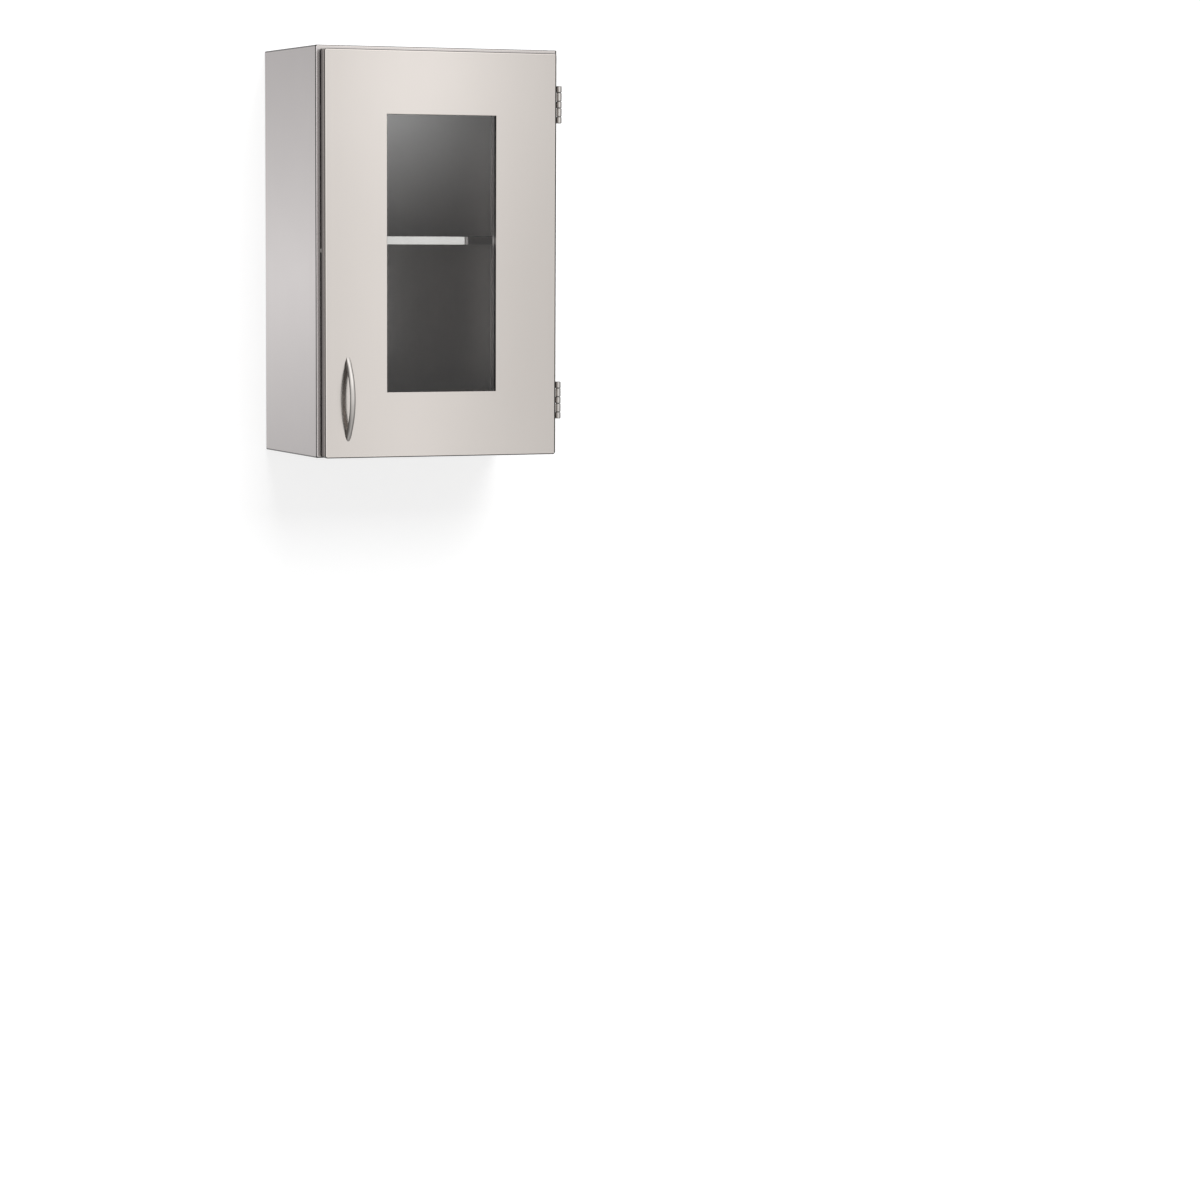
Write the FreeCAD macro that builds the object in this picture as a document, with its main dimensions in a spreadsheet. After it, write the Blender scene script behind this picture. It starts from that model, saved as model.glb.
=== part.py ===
import FreeCAD, Part
import os
import Sketcher
from FreeCAD import Placement, Rotation, Vector

doc = FreeCAD.newDocument("upper_cabinet")

# Driving dimensions in millimetres, each in its own cell of the sheet
SIZES = {
    # Carcase of folded stainless sheet
    "cabinet_width": 480.0,
    "cabinet_height": 762.0,
    "cabinet_depth": 300.0,
    "sheet_wall": 1.2,
    "bend_radius": 2.0,
    "stile_width": 25.0,
    "stile_return": 12.0,
    "rear_flange": 15.0,
    # Hanging rails and their wall-fixing holes
    "rail_height": 60.0,
    "rail_wall": 3.0,
    "rail_inset": 51.0,
    "rail_end_gap": 8.8,
    "fixing_inset": 36.8,
    "fixing_hole_radius": 3.55,
    # Slotted shelf standards
    "standard_width": 16.0,
    "standard_depth": 3.2,
    "standard_wall": 1.0,
    "standard_end_gap": 56.0,
    "standard_front_inset": 95.0,
    "standard_rear_inset": 45.0,
    "slot_width": 9.0,
    "slot_height": 3.2,
    "slot_pitch": 12.7,
    "slot_margin": 12.0,
    # Shelf clips, and the height that they hold the shelf at, to the nearest slot
    "clip_width": 12.0,
    "clip_wall": 1.6,
    "clip_reach": 12.0,
    "clip_drop": 14.0,
    "clip_rise": 10.5,
    "hook_width": 8.0,
    "hook_height": 2.6,
    "hook_depth": 1.0,
    "shelf_rise": 396.0,
    # Shelf
    "shelf_side_gap": 2.6,
    "shelf_setback": 61.0,
    "shelf_rear_gap": 2.6,
    "shelf_hem": 16.0,
    "shelf_lip": 10.0,
    # Door pan, window and glazing
    "door_gap": 4.0,
    "door_thickness": 20.0,
    "door_side_reveal": 9.5,
    "door_top_reveal": 7.0,
    "door_corner_radius": 5.0,
    "window_side_margin": 122.0,
    "window_end_margin": 120.0,
    "window_rise": 1.5,
    "window_bend": 1.0,
    "glass_setback": 3.5,
    "glass_thickness": 4.0,
    "glass_overlap": 10.0,
    "gasket_wall": 1.4,
    # Bow handle
    "handle_span": 157.0,
    "handle_width": 10.5,
    "handle_height": 29.5,
    "handle_wall": 7.0,
    "handle_foot": 21.0,
    "handle_edge_radius": 3.2,
    "handle_inset": 44.8,
    "handle_rise": 109.5,
    "handle_screw_spacing": 128.0,
    "handle_thread_depth": 7.0,
    # Five-knuckle hinges
    "hinge_height": 70.0,
    "hinge_inset": 102.0,
    "hinge_axis_out": 2.7,
    "barrel_radius": 5.3,
    "barrel_edge_radius": 0.7,
    "body_knuckle": 12.1,
    "knuckle_gap": 0.3,
    "pin_radius": 2.45,
    "pin_end_radius": 0.6,
    "pin_clearance": 0.05,
    "leaf_wall": 1.9,
    "leaf_clearance": 1.4,
    "body_leaf_width": 19.0,
    "door_leaf_width": 24.0,
    "door_leaf_setback": 5.3,
    "notch_depth": 5.0,
    "notch_margin": 1.0,
    "body_screw_inset": 14.0,
    "door_screw_inset": 31.0,
    "leaf_screw_pitch": 22.0,
    "backing_width": 14.0,
    "backing_height": 60.0,
    "backing_wall": 3.0,
    # Screws
    "screw_radius": 2.0,
    "screw_clearance": 0.25,
    "screw_end": 1.0,
    "flat_head_radius": 3.9,
    "pan_head_radius": 3.8,
    "pan_head_height": 1.8,
    # Magnetic catch and its strike
    "catch_wall": 2.3,
    "catch_floor": 3.0,
    "catch_ear": 10.0,
    "catch_gap": 0.3,
    "pole_wall": 1.2,
    "pole_proud": 0.5,
    "magnet_thickness": 5.0,
    "magnet_length": 32.0,
    "magnet_depth": 15.0,
    "strike_wall": 1.2,
    "strike_width": 16.0,
    "strike_length": 60.0,
    "strike_screw_inset": 7.0,
    # Door bumper
    "bumper_radius": 5.0,
    "bumper_height": 3.8,
    "bumper_edge_radius": 1.5,
    "bumper_inset": 14.0,
    "bumper_rise": 3.0,
    # Length by which a cutter runs past the face that it opens
    "overrun": 1.0,
}
dims = doc.addObject("Spreadsheet::Sheet", "dims")
for row, (alias, value) in enumerate(SIZES.items(), 1):
    dims.set("A%d" % row, alias)
    dims.set("B%d" % row, str(value))
    dims.setAlias("B%d" % row, alias)
doc.recompute()

nodes = []

# Turn of a rod that lies along each axis
TURNS = {
    "x": Rotation(Vector(0, 1, 0), 90),
    "y": Rotation(Vector(1, 0, 0), -90),
    "z": Rotation(),
}


def both(half):
    """Low and high ends of a span centred on zero."""
    return "-(%s)" % half, "%s" % half


def around(middle, half):
    """Low and high ends of a span centred on a place."""
    return "%s - (%s)" % (middle, half), "%s + (%s)" % (middle, half)


def block(name, x, y, z):
    """Box between the low and high ends of three spans."""
    item = doc.addObject("Part::Box", name)
    for size, axis, (low, high) in (("Length", "x", x), ("Width", "y", y), ("Height", "z", z)):
        item.setExpression(size, "(%s) - (%s)" % (high, low))
        item.setExpression("Placement.Base." + axis, low)
    return item


def rod(name, along, radius, x, y, z, end_radius=None):
    """Cylinder, or cone with an end radius, along the axis that is given a span."""
    item = doc.addObject("Part::Cone" if end_radius else "Part::Cylinder", name)
    item.Placement = Placement(Vector(), TURNS[along])
    places = {"x": x, "y": y, "z": z}
    low, high = places[along]
    places[along] = low
    if end_radius:
        item.setExpression("Radius1", radius)
        item.setExpression("Radius2", end_radius)
    else:
        item.setExpression("Radius", radius)
    item.setExpression("Height", "(%s) - (%s)" % (high, low))
    for axis, place in places.items():
        item.setExpression("Placement.Base." + axis, place)
    return item


def cut(name, base, *tools):
    """Base less each tool in turn, the last step under the given name."""
    for step, tool in enumerate(tools, 1):
        item = doc.addObject("Part::Cut", name if step == len(tools) else "%s_cut_%d" % (name, step))
        item.Base = base
        item.Tool = tool
        base = item
    return base


def joined(name, *pieces):
    """Pieces fused into one solid."""
    item = doc.addObject("Part::MultiFuse", name)
    item.Shapes = list(pieces)
    return item


def group(name, pieces):
    """Separate solids kept together in one node."""
    item = doc.addObject("Part::Compound", name)
    item.Links = list(pieces)
    return item


def rounded(name, base, radius, picks):
    """Base with the picked edges rounded to a radius of the sheet."""
    doc.recompute()
    item = doc.addObject("Part::Fillet", name)
    item.Base = base
    edges = enumerate(base.Shape.Edges, 1)
    item.Edges = [(number, radius, radius) for number, edge in edges if picks(edge)]
    return item


def node(item):
    """Keep an object as a sub-part of the cabinet."""
    item.Label = item.Name
    nodes.append(item)
    return item


# Planes of the carcase: the wall is the plane y = 0, the front faces -y
front = "-dims.cabinet_depth"
side = "dims.cabinet_width / 2"
top = "dims.cabinet_height / 2"
inner_side = "(dims.cabinet_width / 2 - dims.sheet_wall)"
inner_top = "(dims.cabinet_height / 2 - dims.sheet_wall)"
mouth_side = "(dims.cabinet_width / 2 - dims.stile_width)"
mouth_top = "(dims.cabinet_height / 2 - dims.stile_width)"
back_inner = "(-dims.sheet_wall)"

# Planes of the door
door_back = "(-dims.cabinet_depth - dims.door_gap)"
door_front = "(-dims.cabinet_depth - dims.door_gap - dims.door_thickness)"
door_lining = "(-dims.cabinet_depth - dims.door_gap - dims.sheet_wall)"
door_side = "(dims.cabinet_width / 2 - dims.door_side_reveal)"
door_top = "(dims.cabinet_height / 2 - dims.door_top_reveal)"
door_bottom = "(-dims.cabinet_height / 2)"
window_middle = "(dims.window_rise - dims.door_top_reveal / 2)"
window_half_width = "(dims.cabinet_width / 2 - dims.door_side_reveal - dims.window_side_margin)"
window_half_height = "(dims.cabinet_height / 2 - dims.door_top_reveal / 2 - dims.window_end_margin)"
glazing_front = "(%s + dims.glass_setback)" % door_front
glazing_rear = "(%s + dims.glass_thickness + 2 * dims.gasket_wall)" % glazing_front

# Hinge axis, its barrel tangent to the plane of the carcase front
axis_x = "(dims.cabinet_width / 2 + dims.hinge_axis_out)"
axis_y = "(-dims.cabinet_depth - dims.barrel_radius)"
hinge_rise = "(dims.cabinet_height / 2 - dims.hinge_inset)"
HINGES = {"lower": "(-%s)" % hinge_rise, "upper": hinge_rise}
body_screw_x = "(dims.cabinet_width / 2 - dims.body_screw_inset)"
door_screw_x = "(dims.cabinet_width / 2 - dims.door_screw_inset)"
hole_radius = "(dims.screw_radius + dims.screw_clearance)"
SCREW_STEPS = (-1, 0, 1)

# Handle, catch and strike share the handle's height
handle_x = "(-%s + dims.handle_inset)" % door_side
handle_z = "(%s + dims.handle_rise)" % door_bottom
strike_x = "(-%s + dims.strike_width / 2)" % mouth_side


def screw_places(hinge_z):
    """Heights of the screws of one hinge leaf."""
    return ["%s + %d * dims.leaf_screw_pitch" % (hinge_z, step) for step in SCREW_STEPS]


def holes(name, along, radius, x, y, z):
    """Rods for a set of holes, one for each place in the lists."""
    places = [(one_x, one_y, one_z) for one_x in x for one_y in y for one_z in z]
    return [rod("%s_%d" % (name, count), along, radius, *place) for count, place in enumerate(places, 1)]


# Carcase: a rounded box of sheet with folded stiles and returns at the mouth and flanges at the back
carcase_box = block("carcase_box", both(side), (front, "0"), both(top))
carcase_blank = rounded("carcase_blank", carcase_box, dims.bend_radius,
                        lambda edge: edge.CenterOfMass.y < -dims.sheet_wall)
cavity = block("carcase_cavity", both(inner_side), (front + " + dims.sheet_wall", "-2 * dims.sheet_wall"),
               both(inner_top))
returns = block("stile_returns", both(mouth_side + " + dims.sheet_wall"),
                (front, front + " + dims.stile_return"), both(mouth_top + " + dims.sheet_wall"))
mouth = block("carcase_mouth", both(mouth_side), (front + " - dims.overrun", front + " + dims.stile_return"),
              both(mouth_top))
flange_window = block("flange_window", both(inner_side + " - dims.rear_flange"),
                      ("-2 * dims.sheet_wall - dims.overrun", back_inner),
                      both(inner_top + " - dims.rear_flange"))
back_recess = block("back_recess", both(inner_side), (back_inner, "dims.overrun"), both(inner_top))
carcase = cut("carcase", carcase_blank, cut("carcase_hollow", cavity, returns), mouth, flange_window,
              back_recess)

# Sectors that part the carcase into four panels along mitred corners
sector_depth = "dims.stile_width + dims.stile_return"
SECTORS = {
    "left": (Rotation(Vector(1, 1, 1), -120), side, top),
    "right": (Rotation(Vector(0, 1, 0), 180).multiply(Rotation(Vector(1, 1, 1), -120)), side, top),
    "top": (Rotation(Vector(1, 0, 0), -90), top, side),
    "bottom": (Rotation(Vector(0, 1, 0), 180).multiply(Rotation(Vector(1, 0, 0), -90)), top, side),
}


def sector(name, turn, reach, half):
    """Trapezoid prism under one outer face of the carcase, its ends at 45 degrees."""
    item = doc.addObject("Part::Wedge", name)
    item.Placement = Placement(Vector(), turn)
    for corner, sign in (("min", "-"), ("max", "")):
        item.setExpression("X" + corner, "%s(%s)" % (sign, half))
        item.setExpression("X2" + corner, "%s(%s - (%s))" % (sign, half, sector_depth))
    item.setExpression("Ymin", "-(%s)" % reach)
    item.setExpression("Ymax", "-(%s) + %s" % (reach, sector_depth))
    for prefix in ("Z", "Z2"):
        item.setExpression(prefix + "min", front)
        item.setExpression(prefix + "max", "0")
    return item


def panel(name, where):
    """Share of the carcase that lies in one sector."""
    item = doc.addObject("Part::Common", name)
    item.Base = carcase
    item.Tool = sector(where + "_sector", *SECTORS[where])
    return item


node(panel("top_panel", "top"))
node(panel("bottom_panel", "bottom"))
stile_holes = holes("stile_hole", "y", hole_radius, [body_screw_x],
                    [(front + " - dims.overrun", front + " + dims.sheet_wall + dims.overrun")],
                    [place for hinge_z in HINGES.values() for place in screw_places(hinge_z)])
node(cut("right_side_panel", panel("right_side_blank", "right"), *stile_holes))

# Catch screws bite in the folded return of the left stile
catch_left = "(-%s)" % mouth_side
ear_y = "(%s + dims.stile_return / 2)" % front
ear_screw_z = around(handle_z, "dims.magnet_length / 2 + dims.catch_ear / 2")
node(cut("left_side_panel", panel("left_side_blank", "left"),
         *holes("return_thread", "x", "dims.screw_radius",
                [(catch_left + " - dims.sheet_wall - dims.overrun", catch_left + " + dims.overrun")],
                [ear_y], ear_screw_z)))

# Back panel and the two hanging rails, drilled together for the wall fixings
fixing_x = both("dims.cabinet_width / 2 - dims.fixing_inset")
fixing_z = both("dims.cabinet_height / 2 - dims.rail_inset")
back_sheet = block("back_sheet", both(inner_side), (back_inner, "0"), both(inner_top))
node(cut("back_panel", back_sheet,
         *holes("back_hole", "y", "dims.fixing_hole_radius", fixing_x,
                [(back_inner + " - dims.overrun", "dims.overrun")], fixing_z)))
for name, rail_z in zip(("lower_hanging_rail", "upper_hanging_rail"), fixing_z):
    rail = block(name + "_bar", both(inner_side + " - dims.rear_flange - dims.rail_end_gap"),
                 (back_inner + " - dims.rail_wall", back_inner), around(rail_z, "dims.rail_height / 2"))
    node(cut(name, rail,
             *holes(name + "_hole", "y", "dims.fixing_hole_radius", fixing_x,
                    [(back_inner + " - dims.rail_wall - dims.overrun", back_inner + " + dims.overrun")],
                    [rail_z])))


def origin_feature(body, role):
    """Plane or axis of a body's own origin."""
    return next(item for item in body.Origin.OriginFeatures if item.Role == role)


def sized(item, sizes, corner):
    """Tie a box feature of a body to its sizes and its low corner."""
    for prop, text in zip(("Length", "Width", "Height"), sizes):
        item.setExpression(prop, text)
    for axis, text in zip("xyz", corner):
        item.setExpression("Placement.Base." + axis, text)
    return item


standard_length = "(dims.cabinet_height - 2 * dims.standard_end_gap)"
standard_foot = "(-dims.cabinet_height / 2 + dims.standard_end_gap)"


def standard(name, turn, x, y):
    """Slotted channel that stands on the inside of a side panel."""
    body = doc.addObject("PartDesign::Body", name)
    sized(body.newObject("PartDesign::AdditiveBox", name + "_bar"),
          ("dims.standard_depth", "dims.standard_width", standard_length),
          ("0", "-dims.standard_width / 2", "0"))
    sized(body.newObject("PartDesign::SubtractiveBox", name + "_channel"),
          ("dims.standard_depth - dims.standard_wall + dims.overrun",
           "dims.standard_width - 2 * dims.standard_wall", standard_length + " + 2 * dims.overrun"),
          ("-dims.overrun", "-dims.standard_width / 2 + dims.standard_wall", "-dims.overrun"))
    slot = sized(body.newObject("PartDesign::SubtractiveBox", name + "_slot"),
                 ("dims.standard_depth + dims.overrun", "dims.slot_width", "dims.slot_height"),
                 ("dims.standard_depth / 2", "-dims.slot_width / 2",
                  "dims.slot_margin - dims.slot_height / 2"))
    doc.recompute()
    slots = body.newObject("PartDesign::LinearPattern", name + "_slots")
    slots.Originals = [slot]
    slots.Direction = (origin_feature(body, "Z_Axis"), [""])
    last_slot = "floor((%s - 2 * dims.slot_margin) / dims.slot_pitch)" % standard_length
    slots.setExpression("Occurrences", last_slot + " + 1")
    slots.setExpression("Length", last_slot + " * dims.slot_pitch")
    body.Tip = slots
    body.Placement = Placement(Vector(), turn)
    for axis, place in (("x", x), ("y", y), ("z", standard_foot)):
        body.setExpression("Placement.Base." + axis, place)
    return body


SIDES = {"left": (-1, Rotation()), "right": (1, Rotation(Vector(0, 0, 1), 180))}
STANDARD_ROWS = {
    "front": front + " + dims.standard_front_inset",
    "rear": "-dims.standard_rear_inset",
}
for side_name, (sign, turn) in SIDES.items():
    for row_name, row_y in STANDARD_ROWS.items():
        node(standard("standard_%s_%s" % (side_name, row_name), turn, "%d * %s" % (sign, inner_side), row_y))

# Shelf clips: a plate on the standard, a hook through its slot and a tongue under the shelf
first_slot_z = "(%s + dims.slot_margin)" % standard_foot
wanted_hook_z = "(-dims.cabinet_height / 2 + dims.shelf_rise - dims.clip_rise)"
hook_z = "(%s + round((%s - %s) / dims.slot_pitch) * dims.slot_pitch)" % (
    first_slot_z, wanted_hook_z, first_slot_z)
tongue_top = "(%s + dims.clip_rise)" % hook_z
standard_face = "(%s - dims.standard_depth)" % inner_side


def mirrored_span(sign, near, far):
    """Span on the right side of the cabinet, or its mirror image on the left."""
    return (near, far) if sign > 0 else ("-(%s)" % far, "-(%s)" % near)


def clip(name, sign, y):
    """Shelf clip on one standard."""
    plate_face = "(%s - dims.clip_wall)" % standard_face
    plate = block(name + "_plate", mirrored_span(sign, plate_face, standard_face),
                  around(y, "dims.clip_width / 2"), (tongue_top + " - dims.clip_drop", tongue_top))
    hook_end = "%s + dims.standard_wall + dims.hook_depth" % standard_face
    hook = block(name + "_hook", mirrored_span(sign, plate_face, hook_end),
                 around(y, "dims.hook_width / 2"), around(hook_z, "dims.hook_height / 2"))
    tongue = block(name + "_tongue", mirrored_span(sign, standard_face + " - dims.clip_reach", standard_face),
                   around(y, "dims.clip_width / 2"), (tongue_top + " - dims.clip_wall", tongue_top))
    return joined(name, plate, hook, tongue)


node(group("shelf_clips", [clip("clip_%s_%s" % (side_name, row_name), sign, row_y)
                           for side_name, (sign, turn) in SIDES.items()
                           for row_name, row_y in STANDARD_ROWS.items()]))

# Shelf: a pan folded down on four sides, with return lips at the front and the rear
shelf_side = "(%s - dims.shelf_side_gap)" % standard_face
shelf_front = "(%s + dims.shelf_setback)" % front
shelf_rear = "(-2 * dims.sheet_wall - dims.shelf_rear_gap)"
shelf_top = "(%s + dims.shelf_hem)" % tongue_top
shelf_box = block("shelf_box", both(shelf_side), (shelf_front, shelf_rear), (tongue_top, shelf_top))
doc.recompute()
shelf_blank = rounded("shelf_blank", shelf_box, dims.bend_radius,
                      lambda edge: edge.CenterOfMass.z > shelf_box.Shape.CenterOfMass.z)
shelf_hollow = block("shelf_hollow", both(shelf_side + " - dims.sheet_wall"),
                     (shelf_front + " + dims.sheet_wall", shelf_rear + " - dims.sheet_wall"),
                     (tongue_top + " + dims.sheet_wall", shelf_top + " - dims.sheet_wall"))
shelf_mouth = block("shelf_mouth", both(shelf_side + " - dims.sheet_wall"),
                    (shelf_front + " + dims.shelf_lip", shelf_rear + " - dims.shelf_lip"),
                    (tongue_top + " - dims.overrun", tongue_top + " + dims.sheet_wall"))
node(cut("shelf", shelf_blank, shelf_hollow, shelf_mouth))

# Door outer panel: a folded pan with a window return, hinge notches and handle holes
window_x = both(window_half_width)
window_z = around(window_middle, window_half_height)
door_box = block("door_box", both(door_side), (door_front, door_back), (door_bottom, door_top))


def through_edge(edge):
    """Whether an edge runs through the door from the front to the back."""
    return edge.BoundBox.YLength > edge.BoundBox.XLength + edge.BoundBox.ZLength


inner_corner_radius = dims.door_corner_radius - dims.sheet_wall
door_cornered = rounded("door_cornered", door_box, dims.door_corner_radius, through_edge)
doc.recompute()
door_blank = rounded("door_blank", door_cornered, dims.bend_radius,
                     lambda edge: edge.BoundBox.YMax < door_box.Shape.BoundBox.YMin + dims.sheet_wall)
door_cavity_box = block("door_cavity_box", both(door_side + " - dims.sheet_wall"),
                        (door_front + " + dims.sheet_wall", door_back + " + dims.overrun"),
                        (door_bottom + " + dims.sheet_wall", door_top + " - dims.sheet_wall"))
door_cavity = rounded("door_cavity", door_cavity_box, inner_corner_radius, through_edge)
return_x = both(window_half_width + " + dims.sheet_wall")
return_z = around(window_middle, window_half_height + " + dims.sheet_wall")
window_return = block("window_return", return_x, (door_front, glazing_front), return_z)
window = block("window", window_x, (door_front + " - dims.overrun", glazing_front), window_z)
door_pan = cut("door_pan", door_blank, cut("door_hollow", door_cavity, window_return), window)
doc.recompute()


def on_window_rim(edge):
    """Whether an edge runs round the window in the door's front face."""
    rim, hole, door = edge.BoundBox, window.Shape.BoundBox, door_box.Shape.BoundBox
    in_face = max(rim.YMax - door.YMin, door.YMin - rim.YMin) < dims.sheet_wall / 2
    return in_face and rim.XLength <= hole.XLength and rim.ZLength <= hole.ZLength and hole.isInside(
        Vector(edge.CenterOfMass.x / 2, edge.CenterOfMass.y, edge.CenterOfMass.z / 2))


door_rimmed = rounded("door_rimmed", door_pan, dims.window_bend, on_window_rim)
notches = [block("notch_" + where, (door_side + " - dims.notch_depth", door_side + " + dims.overrun"),
                 (door_lining + " - dims.leaf_wall - dims.notch_margin", door_back + " + dims.overrun"),
                 around(hinge_z, "dims.hinge_height / 2 + dims.notch_margin"))
           for where, hinge_z in HINGES.items()]
handle_screw_z = around(handle_z, "dims.handle_screw_spacing / 2")
handle_holes = holes("handle_hole", "y", hole_radius, [handle_x],
                     [(door_front + " - dims.overrun", door_front + " + dims.sheet_wall + dims.overrun")],
                     handle_screw_z)
node(cut("door_outer_panel", door_rimmed, *notches, *handle_holes))

# Door inner panel, closing the pan between its folded sides, with a return that holds the glass
lining_y = (door_lining, door_back)
lining_cut_y = (door_lining + " - dims.overrun", door_back + " + dims.overrun")
strike_screw_z = around(handle_z, "dims.strike_length / 2 - dims.strike_screw_inset")
lining_sheet = block("lining_sheet", both(door_side + " - dims.sheet_wall"), lining_y,
                     (door_bottom + " + dims.sheet_wall", door_top + " - dims.sheet_wall"))
lining = rounded("lining", lining_sheet, inner_corner_radius, through_edge)
lining_return = block("lining_return", return_x, (glazing_rear, door_back), return_z)
lining_window = block("lining_window", window_x,
                      (glazing_rear + " - dims.overrun", door_back + " + dims.overrun"), window_z)
leaf_places = [place for hinge_z in HINGES.values() for place in screw_places(hinge_z)]
node(cut("door_inner_panel", joined("lining_folded", lining, lining_return), lining_window,
         *holes("lining_handle_hole", "y", hole_radius, [handle_x], [lining_cut_y], handle_screw_z),
         *holes("lining_strike_hole", "y", hole_radius, [strike_x], [lining_cut_y], strike_screw_z),
         *holes("lining_leaf_hole", "y", hole_radius, [door_screw_x], [lining_cut_y], leaf_places)))

# Glass pane in a rubber channel, held between the window return and the inner panel's return
glass_x = both(window_half_width + " + dims.glass_overlap")
glass_y = (glazing_front + " + dims.gasket_wall", glazing_rear + " - dims.gasket_wall")
glass_z = around(window_middle, window_half_height + " + dims.glass_overlap")
node(block("glass_pane", glass_x, glass_y, glass_z))
gasket_bar = block("gasket_bar", both(window_half_width + " + dims.glass_overlap + dims.gasket_wall"),
                   (glazing_front, glazing_rear),
                   around(window_middle, window_half_height + " + dims.glass_overlap + dims.gasket_wall"))
gasket_seat = block("gasket_seat", glass_x, glass_y, glass_z)
gasket_window = block("gasket_window", window_x,
                      (glazing_front + " - dims.overrun", glazing_rear + " + dims.overrun"), window_z)
node(cut("glazing_gasket", gasket_bar, gasket_seat, gasket_window))


# Bow handle: a crescent between two arcs, padded to its width, with rounded long edges
def bow_radius(half_chord, rise):
    """Radius of the arc with a half chord and a rise."""
    return "((%s)^2 + (%s)^2) / (2 * (%s))" % (half_chord, rise, rise)


def arc_over(sketch, half_chord, rise):
    """Arc over the horizontal axis of a sketch, with its chord on that axis."""
    start = Vector(half_chord, 0, 0)
    crown = Vector(0, rise, 0)
    return sketch.addGeometry(Part.Arc(start, crown, Vector(-half_chord, 0, 0)))


handle = doc.addObject("PartDesign::Body", "handle")
bow = handle.newObject("Sketcher::SketchObject", "handle_bow")
bow.AttachmentSupport = [(origin_feature(handle, "XY_Plane"), "")]
bow.MapMode = "FlatFace"
outer_chord = dims.handle_span / 2
inner_chord = dims.handle_span / 2 - dims.handle_foot
outer_arc = arc_over(bow, outer_chord, dims.handle_height)
inner_arc = arc_over(bow, inner_chord, dims.handle_height - dims.handle_wall)
feet = [bow.addGeometry(Part.LineSegment(Vector(sign * inner_chord, 0, 0), Vector(sign * outer_chord, 0, 0)))
        for sign in (1, -1)]
START, END, MIDDLE = range(1, 4)
X_AXIS, Y_AXIS = range(-1, -3, -1)
for foot, arc_end in zip(feet, (START, END)):
    bow.addConstraint(Sketcher.Constraint("Coincident", foot, START, inner_arc, arc_end))
    bow.addConstraint(Sketcher.Constraint("Coincident", foot, END, outer_arc, arc_end))
    bow.addConstraint(Sketcher.Constraint("PointOnObject", foot, START, X_AXIS))
    bow.addConstraint(Sketcher.Constraint("PointOnObject", foot, END, X_AXIS))
ARCS = {
    "outer": (outer_arc, "dims.handle_span / 2", "dims.handle_height"),
    "inner": (inner_arc, "dims.handle_span / 2 - dims.handle_foot", "dims.handle_height - dims.handle_wall"),
}
for arc_name, (arc, half_chord, rise) in ARCS.items():
    bow.addConstraint(Sketcher.Constraint("PointOnObject", arc, MIDDLE, Y_AXIS))
    radius = bow.addConstraint(Sketcher.Constraint("Radius", arc, bow.Geometry[arc].Radius))
    bow.renameConstraint(radius, arc_name + "_radius")
    bow.setExpression("Constraints.%s_radius" % arc_name, bow_radius(half_chord, rise))
    chord = bow.addConstraint(Sketcher.Constraint("DistanceX", arc, END, arc, START,
                                                  2 * abs(bow.Geometry[arc].StartPoint.x)))
    bow.renameConstraint(chord, arc_name + "_chord")
    bow.setExpression("Constraints.%s_chord" % arc_name, "2 * (%s)" % half_chord)
pad = handle.newObject("PartDesign::Pad", "handle_pad")
pad.Profile = bow
pad.SideType = "Symmetric"
pad.setExpression("Length", "dims.handle_width")
doc.recompute()
soft_edges = handle.newObject("PartDesign::Fillet", "handle_soft_edges")
soft_edges.Base = (pad, ["Edge%d" % number for number, edge in enumerate(pad.Shape.Edges, 1)
                         if isinstance(edge.Curve, Part.Circle)])
soft_edges.setExpression("Radius", "dims.handle_edge_radius")
for count, place in enumerate(both("dims.handle_screw_spacing / 2"), 1):
    thread = handle.newObject("PartDesign::SubtractiveCylinder", "handle_thread_%d" % count)
    thread.Placement = Placement(Vector(), TURNS["y"])
    thread.setExpression("Radius", "dims.screw_radius")
    thread.setExpression("Height", "dims.handle_thread_depth + dims.overrun")
    thread.setExpression("Placement.Base.x", place)
    thread.setExpression("Placement.Base.y", "-dims.overrun")
handle.Placement = Placement(Vector(), Rotation(Vector(0, 0, 1), Vector(0, -1, 0), Vector(1, 0, 0), "XYZ"))
for axis, place in (("x", handle_x), ("y", door_front), ("z", handle_z)):
    handle.setExpression("Placement.Base." + axis, place)
node(handle)


def pan_screw(name, x, y_head, y_end, z):
    """Pan-head screw driven towards the front from the head's seat."""
    shank = rod(name + "_shank", "y", "dims.screw_radius", x, (y_end, y_head), z)
    head = rod(name + "_head", "y", "dims.pan_head_radius", x,
               (y_head, y_head + " + dims.pan_head_height"), z)
    return joined(name, shank, head)


node(group("handle_screws", [
    pan_screw("handle_screw_%d" % count, handle_x, door_back,
              door_front + " - dims.handle_thread_depth", place)
    for count, place in enumerate(handle_screw_z, 1)]))

# Five-knuckle hinges: three knuckles on the carcase leaf, two on the door leaf, one pin
door_knuckle = "((dims.hinge_height - 3 * dims.body_knuckle - 4 * dims.knuckle_gap) / 2)"
knuckle_pitch = "(dims.body_knuckle + %s + 2 * dims.knuckle_gap)" % door_knuckle
body_leaf_edge = "(%s - dims.barrel_radius - dims.leaf_clearance)" % axis_x
body_leaf_x = (body_leaf_edge + " - dims.body_leaf_width", body_leaf_edge)
body_leaf_y = (front + " - dims.leaf_wall", front)
door_leaf_edge = "(%s - dims.door_leaf_setback)" % door_side
door_leaf_x = (door_leaf_edge + " - dims.door_leaf_width", door_leaf_edge)
door_leaf_y = (door_lining + " - dims.leaf_wall", door_lining)


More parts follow.
